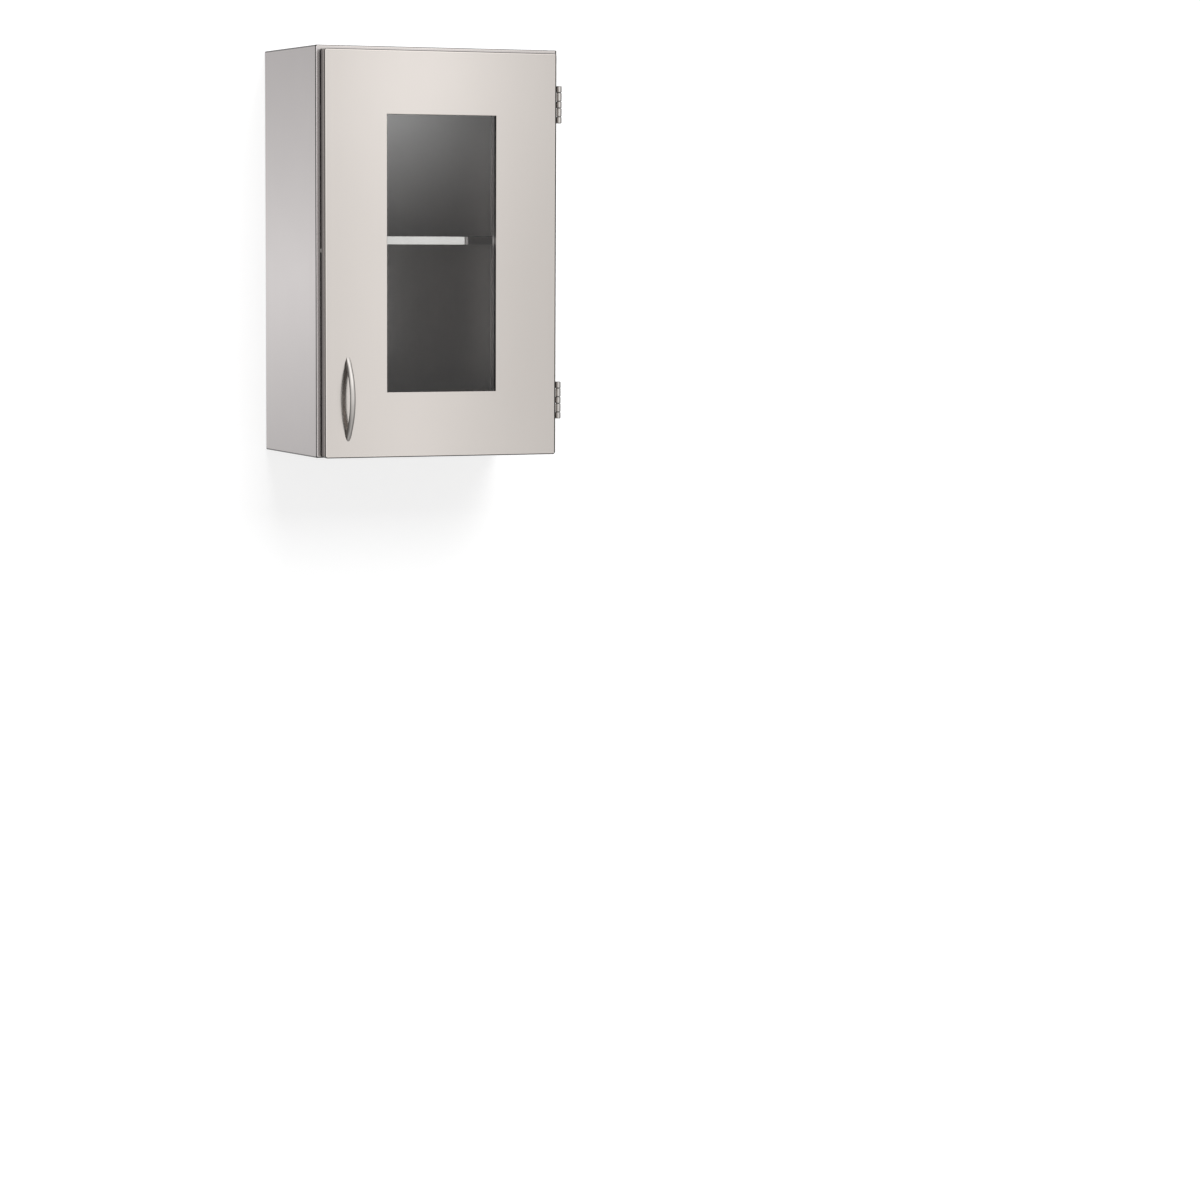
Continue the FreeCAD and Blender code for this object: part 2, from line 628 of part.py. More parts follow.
def knuckle(name, low, length, leaf_edge, leaf_y):
    """Barrel of one knuckle with the tab that ties it to its leaf."""
    span = (low, "%s + %s" % (low, length))
    barrel = rounded(name + "_barrel", rod(name + "_rod", "z", "dims.barrel_radius", axis_x, axis_y, span),
                     dims.barrel_edge_radius, lambda edge: isinstance(edge.Curve, Part.Circle))
    return [barrel, block(name + "_tab", (leaf_edge, axis_x), leaf_y, span)]


def leaf(name, hinge_z, plate_x, plate_y, first, count, length, bore_radius, screw_holes):
    """Hinge leaf: a plate with its knuckles, bored for the pin and drilled for its screws."""
    pieces = [block(name + "_plate", plate_x, plate_y, around(hinge_z, "dims.hinge_height / 2"))]
    for step in range(count):
        low = "%s - dims.hinge_height / 2 + %s + %d * %s" % (hinge_z, first, step, knuckle_pitch)
        pieces += knuckle("%s_knuckle_%d" % (name, step + 1), low, length, plate_x[1], plate_y)
    bore = rod(name + "_bore", "z", bore_radius, axis_x, axis_y,
               around(hinge_z, "dims.hinge_height / 2 + dims.overrun"))
    return cut(name, joined(name + "_rolled", *pieces), bore, *screw_holes)


def flat_screw(name, x, y_face, depth, y_end, z, towards):
    """Flat-head screw whose head fills a countersink, driven to the rear (+1) or to the front (-1)."""
    y_neck = "%s + %d * %s" % (y_face, towards, depth)
    if towards > 0:
        head = rod(name + "_head", "y", "dims.flat_head_radius", x, (y_face, y_neck), z, "dims.screw_radius")
        shank = rod(name + "_shank", "y", "dims.screw_radius", x, (y_neck, y_end), z)
    else:
        head = rod(name + "_head", "y", "dims.screw_radius", x, (y_neck, y_face), z, "dims.flat_head_radius")
        shank = rod(name + "_shank", "y", "dims.screw_radius", x, (y_end, y_neck), z)
    return joined(name, head, shank)


backing_half = "dims.backing_height / 2"
body_backing_y = (front + " + dims.sheet_wall", front + " + dims.sheet_wall + dims.backing_wall")
door_backing_y = (door_leaf_y[0] + " - dims.backing_wall", door_leaf_y[0])
body_screws, door_screws, body_backings, door_backings = [], [], [], []
for where, hinge_z in HINGES.items():
    places = screw_places(hinge_z)
    sinks = [rod("%s_sink_%d" % (where, count), "y", "dims.flat_head_radius", body_screw_x, body_leaf_y,
                 place, "dims.screw_radius") for count, place in enumerate(places, 1)]
    node(leaf(where + "_hinge_body_leaf", hinge_z, body_leaf_x, body_leaf_y, "0", 3, "dims.body_knuckle",
              "dims.pin_radius", sinks))
    door_leaf_holes = holes(where + "_leaf_hole", "y", hole_radius, [door_screw_x],
                            [(door_leaf_y[0] + " - dims.overrun", door_leaf_y[1] + " + dims.overrun")],
                            places)
    node(leaf(where + "_hinge_door_leaf", hinge_z, door_leaf_x, door_leaf_y,
              "dims.body_knuckle + dims.knuckle_gap", 2, door_knuckle,
              "dims.pin_radius + dims.pin_clearance", door_leaf_holes))
    pin_rod = rod(where + "_pin_rod", "z", "dims.pin_radius", axis_x, axis_y,
                  around(hinge_z, "dims.hinge_height / 2"))
    node(rounded(where + "_hinge_pin", pin_rod, dims.pin_end_radius,
                 lambda edge: isinstance(edge.Curve, Part.Circle)))
    body_screws += [flat_screw("%s_body_screw_%d" % (where, count), body_screw_x, body_leaf_y[0],
                               "dims.leaf_wall", body_backing_y[1] + " + dims.screw_end", place, 1)
                    for count, place in enumerate(places, 1)]
    door_screws += [pan_screw("%s_door_screw_%d" % (where, count), door_screw_x, door_back,
                              door_backing_y[0] + " - dims.screw_end", place)
                    for count, place in enumerate(places, 1)]
    for backings, kind, x, y in ((body_backings, "body", body_screw_x, body_backing_y),
                                 (door_backings, "door", door_screw_x, door_backing_y)):
        plate = block("%s_%s_backing_bar" % (where, kind), around(x, "dims.backing_width / 2"), y,
                      around(hinge_z, backing_half))
        threads = holes("%s_%s_thread" % (where, kind), "y", "dims.screw_radius", [x],
                        [(y[0] + " - dims.overrun", y[1] + " + dims.overrun")], places)
        backings.append(cut("%s_%s_backing" % (where, kind), plate, *threads))
node(group("body_hinge_screws", body_screws))
node(group("door_hinge_screws", door_screws))
node(group("body_hinge_backing_plates", body_backings))
node(group("door_hinge_backing_plates", door_backings))

# Strike plate on the door, with flat-head screws from the rear
strike_y = (door_back, door_back + " + dims.strike_wall")
strike_bar = block("strike_bar", around(strike_x, "dims.strike_width / 2"), strike_y,
                   around(handle_z, "dims.strike_length / 2"))
strike_sinks = [rod("strike_sink_%d" % count, "y", "dims.screw_radius", strike_x, strike_y, place,
                    "dims.flat_head_radius") for count, place in enumerate(strike_screw_z, 1)]
node(cut("strike_plate", strike_bar, *strike_sinks))
node(group("strike_screws", [
    flat_screw("strike_screw_%d" % count, strike_x, strike_y[1], "dims.strike_wall",
               door_lining + " - dims.screw_end", place, -1)
    for count, place in enumerate(strike_screw_z, 1)]))

# Magnetic catch on the return of the left stile: magnet between two poles in a housing with ears
pole_face = "(%s + dims.catch_gap)" % strike_y[1]
catch_face = "(%s + dims.pole_proud)" % pole_face
pocket_left = "(%s + dims.catch_wall)" % catch_left
magnet_left = "(%s + dims.pole_wall)" % pocket_left
magnet_right = "(%s + dims.magnet_thickness)" % magnet_left
pocket_right = "(%s + dims.pole_wall)" % magnet_right
catch_right = "(%s + dims.catch_wall)" % pocket_right
pocket_end = "(%s + dims.magnet_depth)" % catch_face
catch_end = "(%s + dims.catch_floor)" % pocket_end
magnet_z = around(handle_z, "dims.magnet_length / 2")
catch_block = block("catch_block", (catch_left, catch_right), (catch_face, catch_end),
                    around(handle_z, "dims.magnet_length / 2 + dims.catch_ear"))
catch_pocket = block("catch_pocket", (pocket_left, pocket_right),
                     (catch_face + " - dims.overrun", pocket_end), magnet_z)
ear_holes = holes("catch_ear_hole", "x", hole_radius,
                  [(catch_left + " - dims.overrun", catch_right + " + dims.overrun")], [ear_y], ear_screw_z)
node(cut("catch_housing", catch_block, catch_pocket, *ear_holes))
node(block("catch_magnet", (magnet_left, magnet_right), (catch_face, pocket_end), magnet_z))
node(group("catch_pole_plates", [
    block("left_pole", (pocket_left, magnet_left), (pole_face, pocket_end), magnet_z),
    block("right_pole", (magnet_right, pocket_right), (pole_face, pocket_end), magnet_z)]))

# Catch screws through the ears of the housing into the stile's return
catch_screws = []
for count, place in enumerate(ear_screw_z, 1):
    shank = rod("catch_shank_%d" % count, "x", "dims.screw_radius",
                (catch_left + " - dims.sheet_wall - dims.screw_end", catch_right), ear_y, place)
    head = rod("catch_head_%d" % count, "x", "dims.pan_head_radius",
               (catch_right, catch_right + " + dims.pan_head_height"), ear_y, place)
    catch_screws.append(joined("catch_screw_%d" % count, shank, head))
node(group("catch_screws", catch_screws))

# Bumper on the left stile, its edge just outside the edge of the door
bumper_disc = rod("bumper_disc", "y", "dims.bumper_radius", "-%s + dims.bumper_inset" % side,
                  (front + " - dims.bumper_height", front), "dims.bumper_rise")
doc.recompute()
node(rounded("door_bumper", bumper_disc, dims.bumper_edge_radius,
             lambda edge: edge.CenterOfMass.y < bumper_disc.Shape.CenterOfMass.y))

doc.recompute()
failed = [item.Name for item in doc.Objects if {"Invalid", "Error"} & set(item.State)]
failed += [item.Name for item in nodes if item.Shape.isNull() or not item.Shape.isValid()]
if failed:
    raise RuntimeError("failed: " + ", ".join(failed))
os.makedirs("parts", exist_ok=True)
for item in nodes:
    print("%-28s %2d solids %12.1f mm3" % (item.Label, len(item.Shape.Solids), item.Shape.Volume))
    item.Shape.exportStep("parts/%s.step" % item.Label)
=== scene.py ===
"""Looks of a wall-hung stainless steel cabinet with a glazed door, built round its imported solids."""

import logging
import math
from collections.abc import Sequence
from dataclasses import dataclass
from enum import Enum

import bmesh
import bpy
from bmesh.types import BMEdge, BMesh, BMFace, BMVert
from bpy.types import Material, Mesh, Node, NodeSocket, NodeTree, Object
from mathutils import Matrix, Vector


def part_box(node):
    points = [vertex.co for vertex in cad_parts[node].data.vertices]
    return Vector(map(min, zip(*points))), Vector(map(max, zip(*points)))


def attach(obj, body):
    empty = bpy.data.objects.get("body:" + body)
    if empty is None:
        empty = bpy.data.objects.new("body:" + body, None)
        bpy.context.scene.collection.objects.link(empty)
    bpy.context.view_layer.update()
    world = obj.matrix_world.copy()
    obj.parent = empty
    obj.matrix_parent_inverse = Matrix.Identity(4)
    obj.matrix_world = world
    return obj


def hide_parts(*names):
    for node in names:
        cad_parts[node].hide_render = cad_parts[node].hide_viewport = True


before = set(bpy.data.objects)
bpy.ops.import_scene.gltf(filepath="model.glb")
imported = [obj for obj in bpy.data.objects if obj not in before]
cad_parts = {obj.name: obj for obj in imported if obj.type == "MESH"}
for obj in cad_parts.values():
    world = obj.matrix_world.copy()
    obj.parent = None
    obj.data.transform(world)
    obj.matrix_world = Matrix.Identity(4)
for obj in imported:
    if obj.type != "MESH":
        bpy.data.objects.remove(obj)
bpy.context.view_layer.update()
LOG = logging.getLogger("upper_cabinet")

# Faces that meet at more than this angle keep a crisp edge.
SHARP_ANGLE = math.radians(40.0)
# Least cosine between a face's normal and a direction that it faces.
FACING = 0.99
# Metres within which points count as one.
NEAR = 1e-6
# Values that a cloudy pattern mostly stays between.
PATTERN_SPAN = (0.3, 0.7)

Colour = tuple[float, float, float]
Place = tuple[float, float, float]
Span = tuple[float, float]
Stops = Sequence[tuple[float, float]]


@dataclass(frozen=True)
class Pattern:
    """Cloudy pattern: its repeats per metre along x, y and z, its finer layers and their weight."""

    repeats: Place
    layers: float = 3.0
    weight: float = 0.55


class Grain(Enum):
    """Way that the polishing lines run."""

    UPRIGHT = Pattern((700.0, 700.0, 5.0), 4.0, 0.6)
    LEVEL = Pattern((5.0, 700.0, 700.0), 4.0, 0.6)
    EVEN = Pattern((420.0, 420.0, 420.0), 4.0, 0.6)


class Body(Enum):
    """Moving groups that new pieces ride on."""

    CABINET = "cabinet"
    DOOR = "door"


class HeadForm(Enum):
    """Form of a screw's head."""

    PAN = "pan"
    FLAT = "flat"


def shade(colour: Colour, share: float) -> Colour:
    """Colour made lighter or darker by a share."""
    return tuple(min(1.0, part * share) for part in colour)


class Board:
    """A node tree with short ways to add nodes to it."""

    def __init__(self, tree: NodeTree) -> None:
        """Start from an empty tree."""
        self.tree = tree
        self.tree.nodes.clear()

    def feed(self, node: Node, inputs: dict[str | int, object]) -> None:
        """Set inputs of a node.

        Args:
            node: Node to feed.
            inputs: Values or output sockets for its inputs, by name or number.
        """
        for key, value in inputs.items():
            if isinstance(value, NodeSocket):
                self.tree.links.new(value, node.inputs[key])
            else:
                node.inputs[key].default_value = value

    def add(self, kind: str, inputs: dict[str | int, object] | None = None, **settings: object) -> Node:
        """Add a node.

        Args:
            kind: Node type.
            inputs: Values or output sockets for its inputs, by name or number.
            settings: Properties of the node.

        Returns:
            The new node.
        """
        node = self.tree.nodes.new(kind)
        for key, value in settings.items():
            setattr(node, key, value)
        self.feed(node, inputs or {})
        return node

    def reckon(self, operation: str, *values: object) -> NodeSocket:
        """Work out one sum of values or sockets."""
        return self.add("ShaderNodeMath", dict(enumerate(values)), operation=operation).outputs[0]

    def mix(self, share: object, first: object, second: object) -> NodeSocket:
        """Blend of two values, all of the second at a share of 1."""
        return self.add("ShaderNodeMix", {0: share, 2: first, 3: second}).outputs[0]

    def parts(self, vector: NodeSocket) -> tuple[NodeSocket, ...]:
        """Parts of a vector along x, y and z."""
        return tuple(self.add("ShaderNodeSeparateXYZ", {0: vector}).outputs)

    def spread(self, value: NodeSocket, low: float, high: float,
               start: float = 0.0, end: float = 1.0) -> NodeSocket:
        """Map a value from one range to another.

        Args:
            value: Socket to read.
            low: Result at the start of the range.
            high: Result at the end of the range.
            start: Start of the range that is read.
            end: End of the range that is read.

        Returns:
            The mapped value.
        """
        node = self.add("ShaderNodeMapRange", {"Value": value, "From Min": start, "From Max": end,
                                               "To Min": low, "To Max": high})
        return node.outputs[0]

    def ramp(self, value: NodeSocket, stops: Sequence[tuple[float, Colour]]) -> NodeSocket:
        """Colour a value.

        Args:
            value: Socket to read.
            stops: Places from 0 to 1, in order, and their colours.

        Returns:
            The colour.
        """
        node = self.add("ShaderNodeValToRGB", {0: value})
        elements = node.color_ramp.elements
        while len(elements) < len(stops):
            elements.new(1.0)
        for element, (place, colour) in zip(elements, stops):
            element.position = place
            element.color = (*colour, 1.0)
        return node.outputs[0]

    def grade(self, value: NodeSocket, stops: Stops) -> NodeSocket:
        """Level of a value from places between 0 and 1, in order, and their levels."""
        return self.ramp(value, [(place, (level,) * 3) for place, level in stops])


class MaterialBoard(Board):
    """Node tree of a new material."""

    def __init__(self, name: str) -> None:
        """Make the material."""
        self.material = bpy.data.materials.new(name)
        self.material.use_nodes = True
        super().__init__(self.material.node_tree)

    def close(self, surface: NodeSocket) -> Material:
        """Show a surface and hand the material over."""
        self.add("ShaderNodeOutputMaterial", {"Surface": surface})
        return self.material


class FinishBoard(MaterialBoard):
    """Material with one principled shader, patterned on the piece's own coordinates."""

    def __init__(self, name: str) -> None:
        """Make the material and its shader."""
        super().__init__(name)
        self.shader = self.add("ShaderNodeBsdfPrincipled")
        self.close(self.shader.outputs[0])
        coordinates = self.add("ShaderNodeTexCoord")
        self.place = coordinates.outputs["Object"]
        self.normal = coordinates.outputs["Normal"]

    def wire(self, name: str, value: object) -> None:
        """Set an input of the shader to a value or a socket."""
        self.feed(self.shader, {name: value})

    def pattern(self, pattern: Pattern) -> NodeSocket:
        """Add a cloudy pattern.

        Args:
            pattern: Its repeats and finer layers.

        Returns:
            The pattern's value, about 0.5 on average.
        """
        stretched = self.add("ShaderNodeMapping", {"Vector": self.place, "Scale": pattern.repeats})
        noise = self.add("ShaderNodeTexNoise", {"Vector": stretched.outputs[0], "Scale": 1.0,
                                                "Detail": pattern.layers, "Roughness": pattern.weight})
        return noise.outputs[0]

    def clouded(self, value: NodeSocket, tint: Colour, change: float, span: Span) -> NodeSocket:
        """Tint that a pattern makes darker and lighter by a change, over a span of its values."""
        shares = (1.0 - change, 1.0 + change)
        return self.ramp(value, [(place, shade(tint, share)) for place, share in zip(span, shares)])

    def toned(self, colour: NodeSocket, tone: NodeSocket) -> NodeSocket:
        """Colour made lighter or darker by a factor."""
        return self.add("ShaderNodeVectorMath", {0: colour, "Scale": tone}, operation="SCALE").outputs[0]

    def roughen(self, value: NodeSocket, middle: float, change: float) -> None:
        """Let a pattern vary the roughness by a change either way."""
        self.wire("Roughness", self.spread(value, middle - change, middle + change, *PATTERN_SPAN))

    def relief(self, height: NodeSocket, strength: float, depth: float) -> None:
        """Give the surface a fine relief of a depth in metres."""
        bump = self.add("ShaderNodeBump", {"Strength": strength, "Distance": depth, "Height": height})
        self.wire("Normal", bump.outputs[0])


@dataclass(frozen=True)
class PaintedFoldLight:
    """Painted shade and highlight on the rounded edge round the front of folded panels: dark on its flank
    and a painted highlight on its crest, drawn in place of the reflections there.

    Tones are factors for the sheet's colour, and their places run from 0 at the flank to 1 at the front.
    The bend starts inside the panels' outline and behind their front. The flank can darken towards the rear
    as painted shade, the lower and right-hand edges get dark painted lines, and the corners get painted
    shade.
    Where a hinge is named, the edge gets a painted shadow beside it and beside its twin below.
    """

    panels: tuple[str, ...]
    hinge: str = ""
    flank: float = 1.0
    rear_tone: float = 1.0
    bend: float = 0.003
    bend_depth: float = 0.0025
    # Painted highlight on the crest, and dark painted lines on the flank and on the lower and right-hand
    # edges.
    tones: Stops = ((0.03, 0.15), (0.52, 0.1), (0.64, 1.3), (0.85, 1.2), (1.0, 1.0))
    lower_tones: Stops = ((0.0, 1.0), (0.1, 0.3), (0.74, 0.3), (0.82, 1.0))
    right_tones: Stops = ((0.0, 1.0), (0.04, 0.1), (0.6, 0.06), (0.93, 0.2), (1.0, 1.0))
    corner_tone: float = 0.3
    corner_width: float = 0.0006
    hinge_tone: float = 0.3
    hinge_margin: float = 0.0005

    def hinge_shade(self, board: FinishBoard, height: NodeSocket, bent: NodeSocket) -> NodeSocket:
        """Painted shadow on the bend beside the hinges.

        Args:
            board: Material that the fold is drawn in.
            height: Height of the place.
            bent: 1 on the bend at the hinges' side, 0 elsewhere.

        Returns:
            The factor for the sheet's colour.
        """
        low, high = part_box(self.hinge)
        reach = (high.z - low.z) / 2 + self.hinge_margin
        near = board.reckon("COMPARE", board.reckon("ABSOLUTE", height), (low.z + high.z) / 2, reach)
        return board.spread(board.reckon("MULTIPLY", near, bent), 1.0, self.hinge_tone)

    def tone(self, board: FinishBoard) -> NodeSocket:
        """Painted shade and highlight of the sheet, 1 on its flat faces.

        Args:
            board: Material that the fold is drawn in.

        Returns:
            The factor for the sheet's colour.
        """
        corners = [corner for node in self.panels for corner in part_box(node)]
        low, high = Vector(map(min, *corners)), Vector(map(max, *corners))
        half_width, front = high.x - self.bend, low.y + self.bend_depth
        x, y, z = board.parts(board.place)
        beside = board.reckon("SUBTRACT", board.reckon("ABSOLUTE", x), half_width)
        above = board.reckon("SUBTRACT", z, high.z - self.bend)
        below = board.reckon("SUBTRACT", low.z + self.bend, z)
        beyond = board.reckon("MAXIMUM", above, below)
        ahead = board.reckon("SUBTRACT", front, y)
        turn = board.reckon("ARCTAN2", ahead, board.reckon("MAXIMUM", beside, beyond))
        turn = board.spread(turn, 0.0, 1.0, 0.0, math.pi / 2)
        crest = board.grade(turn, [(0.0, self.flank), *self.tones])
        lower = board.mix(board.reckon("GREATER_THAN", below, 0.0), 1.0, board.grade(turn, self.lower_tones))
        # Painted shade on the flank, darker towards the rear.
        behind = board.spread(ahead, self.rear_tone, 1.0, front - high.y, 0.0)
        upper = board.reckon("MULTIPLY", board.reckon("MULTIPLY", crest, lower), behind)
        right = board.reckon("GREATER_THAN", x, half_width)
        tone = board.mix(right, upper, board.grade(turn, self.right_tones))
        # Painted shade at the corners.
        corner = board.reckon("MINIMUM", beside, beyond)
        edge = board.spread(corner, 1.0, self.corner_tone, 0.0, self.corner_width)
        tone = board.reckon("MULTIPLY", tone, edge)
        if not self.hinge:
            return tone
        # Painted shadow on the bend beside the hinges.
        bent = board.reckon("MULTIPLY", right, board.reckon("GREATER_THAN", ahead, 0.0))
        return board.reckon("MULTIPLY", tone, self.hinge_shade(board, z, bent))


@dataclass(frozen=True)
class PaintedLeanLight:
    """Painted shade and highlight on a rounded piece by the way that its surface leans: darker where it
    turns aside or back, and lighter or darker by its slope, drawn in place of its reflections.

    Flanks are tones by the lean to the right, and slopes by the lean upwards, each from -1 to 1.
    """

    back: float
    flanks: Stops
    slopes: Stops
    front_lean: float = -0.8

    def tone(self, board: FinishBoard) -> NodeSocket:
        """Painted shade and highlight of the piece, 1 on its front.

        Args:
            board: Material that the piece is drawn in.

        Returns:
            The factor for the piece's colour.
        """
        x, y, z = board.parts(board.normal)
        tone = board.spread(y, 1.0, self.back, self.front_lean, 0.0)
        for part, stops in ((x, self.flanks), (z, self.slopes)):
            lean = board.spread(part, 0.0, 1.0, -1.0, 1.0)
            level = board.grade(lean, [(0.5 + place / 2, share) for place, share in stops])
            tone = board.reckon("MULTIPLY", tone, level)
        return tone


@dataclass(frozen=True)
class SteelFinish:
    """Stainless steel with polishing lines, faint clouding and handling marks, and painted shade and
    highlight where a form is given.
    """

    name: str
    slot: str
    tint: Colour
    roughness: float
    roughness_spread: float
    grain: Grain
    grain_strength: float
    clouding: float = 0.03
    # Painted shade and highlight on folded edges or rounded pieces.
    form: PaintedFoldLight | PaintedLeanLight | None = None
    clouds: Pattern = Pattern((4.0, 4.0, 2.6), 4.0)
    marks: Pattern = Pattern((38.0, 38.0, 17.0), 5.0, 0.65)
    line_share: float = 0.35
    line_wear: float = 0.5
    line_depth: float = 0.00012
    tone_span: Span = (0.34, 0.66)

    def material(self) -> Material:
        """Make the material.

        Returns:
            Material of this finish.
        """
        board = FinishBoard(self.name)
        lines = board.pattern(self.grain.value)
        mixed = board.mix(self.line_share, board.pattern(self.clouds), lines)
        colour = board.clouded(mixed, self.tint, self.clouding, self.tone_span)
        # Painted shade and highlight from the form, multiplied into the colour.
        if self.form:
            colour = board.toned(colour, self.form.tone(board))
        board.wire("Base Color", colour)
        board.wire("Metallic", 1.0)
        worn = board.mix(self.line_wear, board.pattern(self.marks), lines)
        board.roughen(worn, self.roughness, self.roughness_spread)
        if self.grain_strength:
            board.relief(lines, self.grain_strength, self.line_depth)
        return board.material


@dataclass(frozen=True)
class GlassFinish:
    """Clear float glass with a trace of smears."""

    name: str
    slot: str
    tint: Colour
    refraction: float
    smears: Pattern = Pattern((9.0, 9.0, 4.0), 4.0)
    smear_tone: float = 0.985

    def material(self) -> Material:
        """Make the material.

        Returns:
            Material of this finish.
        """
        board = FinishBoard(self.name)
        tints = (shade(self.tint, self.smear_tone), self.tint)
        board.wire("Base Color", board.ramp(board.pattern(self.smears), list(zip(PATTERN_SPAN, tints))))
        board.wire("Roughness", 0.0)
        board.wire("IOR", self.refraction)
        board.wire("Transmission Weight", 1.0)
        return board.material


@dataclass(frozen=True)
class MouldedFinish:
    """Rubber, plastic or sintered stock with a fine skin texture."""

    name: str
    slot: str
    tint: Colour
    roughness: float
    speckle: float
    texture: float
    skin: Pattern = Pattern((1600.0, 1600.0, 1600.0))
    patches: Pattern = Pattern((60.0, 60.0, 60.0), 4.0)
    roughness_spread: float = 0.06
    skin_depth: float = 0.0001
    tone_span: Span = (0.35, 0.65)

    def material(self) -> Material:
        """Make the material.

        Returns:
            Material of this finish.
        """
        board = FinishBoard(self.name)
        patches = board.pattern(self.patches)
        board.wire("Base Color", board.clouded(patches, self.tint, self.speckle, self.tone_span))
        board.roughen(patches, self.roughness, self.roughness_spread)
        board.relief(board.pattern(self.skin), self.texture, self.skin_depth)
        return board.material


def as_data(name: str, mesh: BMesh, material: Material) -> Mesh:
    """Turn a finished mesh into data of one material.

    Args:
        name: Name of the data.
        mesh: Shape, which is used up.
        material: Its material.

    Returns:
        The data.
    """
    data = bpy.data.meshes.new(name)
    mesh.to_mesh(data)
    mesh.free()
    data.materials.append(material)
    return data


def put(name: str, data: bpy.types.ID) -> Object:
    """Add an object to the scene.

    Args:
        name: Name of the object.
        data: Its mesh, lamp or camera.

    Returns:
        The object.
    """
    item = bpy.data.objects.new(name, data)
    bpy.context.scene.collection.objects.link(item)
    return item


class Stock:
    """Every finish on the cabinet, made once and kept by name."""

    # Painted shade and highlight on the folded edges of the carcase and the door. The door's flank also gets
    # painted shade towards its rear and a painted shadow beside the hinges.
    CARCASE_FOLD_LIGHT = PaintedFoldLight(("left_side_panel", "right_side_panel", "top_panel", "bottom_panel"))
    DOOR_FOLD_LIGHT = PaintedFoldLight(("door_outer_panel",), "upper_hinge_body_leaf", flank=0.62, rear_tone=0.12)
    # Painted shade and highlight by surface lean on the handle and the hinges.
    HANDLE_LEAN_LIGHT = PaintedLeanLight(0.35, ((-0.96, 0.4), (-0.7, 1.0), (0.3, 1.0), (0.72, 0.4)),
                             ((-0.6, 1.1), (-0.4, 0.95), (-0.1, 0.84), (0.3, 1.08), (0.6, 1.25)))
    HINGE_LEAN_LIGHT = PaintedLeanLight(1.0, ((0.35, 1.0), (0.75, 0.5)),
                            ((-0.7, 0.25), (-0.2, 1.0), (0.2, 1.0), (0.7, 0.25)))
    FINISHES = (
        SteelFinish("carcase_satin", "stainless_steel", (0.66, 0.62, 0.615), 0.22, 0.02,
                    Grain.UPRIGHT, 0.03, 0.02, CARCASE_FOLD_LIGHT),
        SteelFinish("carcase_level", "stainless_steel", (0.66, 0.62, 0.60), 0.22, 0.02,
                    Grain.LEVEL, 0.03, 0.02, CARCASE_FOLD_LIGHT),
        SteelFinish("back_sheet", "stainless_steel", (0.62, 0.60, 0.59), 0.29, 0.01,
                    Grain.UPRIGHT, 0.0, 0.05),
        SteelFinish("lining_satin", "stainless_steel", (0.66, 0.625, 0.62), 0.285, 0.01,
                    Grain.UPRIGHT, 0.03, 0.02),
        SteelFinish("door_polish", "door_steel", (0.70, 0.655, 0.62), 0.18, 0.02,
                    Grain.UPRIGHT, 0.03, 0.015, DOOR_FOLD_LIGHT),
        SteelFinish("shelf_polish", "shelf_steel", (0.78, 0.77, 0.755), 0.07, 0.02,
                    Grain.LEVEL, 0.02, 0.02),
        SteelFinish("handle_satin", "handle_steel", (0.72, 0.685, 0.655), 0.12, 0.03,
                    Grain.UPRIGHT, 0.06, form=HANDLE_LEAN_LIGHT),
        SteelFinish("hinge_satin", "hinge_steel", (0.62, 0.59, 0.565), 0.22, 0.04,
                    Grain.LEVEL, 0.08, 0.05, HINGE_LEAN_LIGHT),
        SteelFinish("hardware_mill", "hardware_steel", (0.56, 0.55, 0.535), 0.34, 0.06,
                    Grain.UPRIGHT, 0.12, 0.05),
        SteelFinish("fastener_bright", "fastener_steel", (0.52, 0.51, 0.495), 0.26, 0.06,
                    Grain.EVEN, 0.06, 0.06),
        GlassFinish("float_glass", "clear_glass", (0.985, 0.99, 0.987), 1.52),
        MouldedFinish("gasket_black", "gasket_rubber", (0.018, 0.018, 0.019), 0.62, 0.25, 0.25),
        MouldedFinish("bumper_grey", "bumper_rubber", (0.42, 0.41, 0.39), 0.5, 0.08, 0.2),
        MouldedFinish("catch_ivory", "catch_plastic", (0.78, 0.765, 0.73), 0.45, 0.03, 0.2),
        MouldedFinish("magnet_grey", "ferrite_magnet", (0.07, 0.07, 0.075), 0.6, 0.3, 0.4),
    )

    def __init__(self) -> None:
        """Make the materials."""
        self.made = {finish.name: finish.material() for finish in self.FINISHES}
        self.slots = {finish.name: finish.slot for finish in self.FINISHES}

    def dress(self, finish: str, *nodes: str) -> None:
        """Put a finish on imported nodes.

        Args:
            finish: Name of the finish.
            nodes: Names of the nodes.
        """
        for node in nodes:
            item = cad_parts[node]
            if not item.material_slots:
                item.data.materials.append(None)
            for slot in item.material_slots:
                slot.material = self.made[finish]
            LOG.info("packed node %s in %s", node, finish)

    def set_piece(self, name: str, mesh: BMesh, finish: str, body: Body, *nodes: str) -> None:
        """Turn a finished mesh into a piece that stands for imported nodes.

        Args:
            name: Name of the piece.
            mesh: Its shape, in place, which is used up.
            finish: Name of its finish.
            body: Group that it moves with.
            nodes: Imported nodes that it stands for.
        """
        bmesh.ops.recalc_face_normals(mesh, faces=mesh.faces)
        data = as_data(name, mesh, self.made[finish])
        data.polygons.foreach_set("use_smooth", [True] * len(data.polygons))
        data.set_sharp_from_angle(angle=SHARP_ANGLE)
        piece = put(name, data)
        piece.modifiers.new("even_normals", "WEIGHTED_NORMAL").keep_sharp = True
        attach(piece, body.value)
        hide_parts(*nodes)
        LOG.info("piece %s in %s, %d faces", name, finish, len(data.polygons))


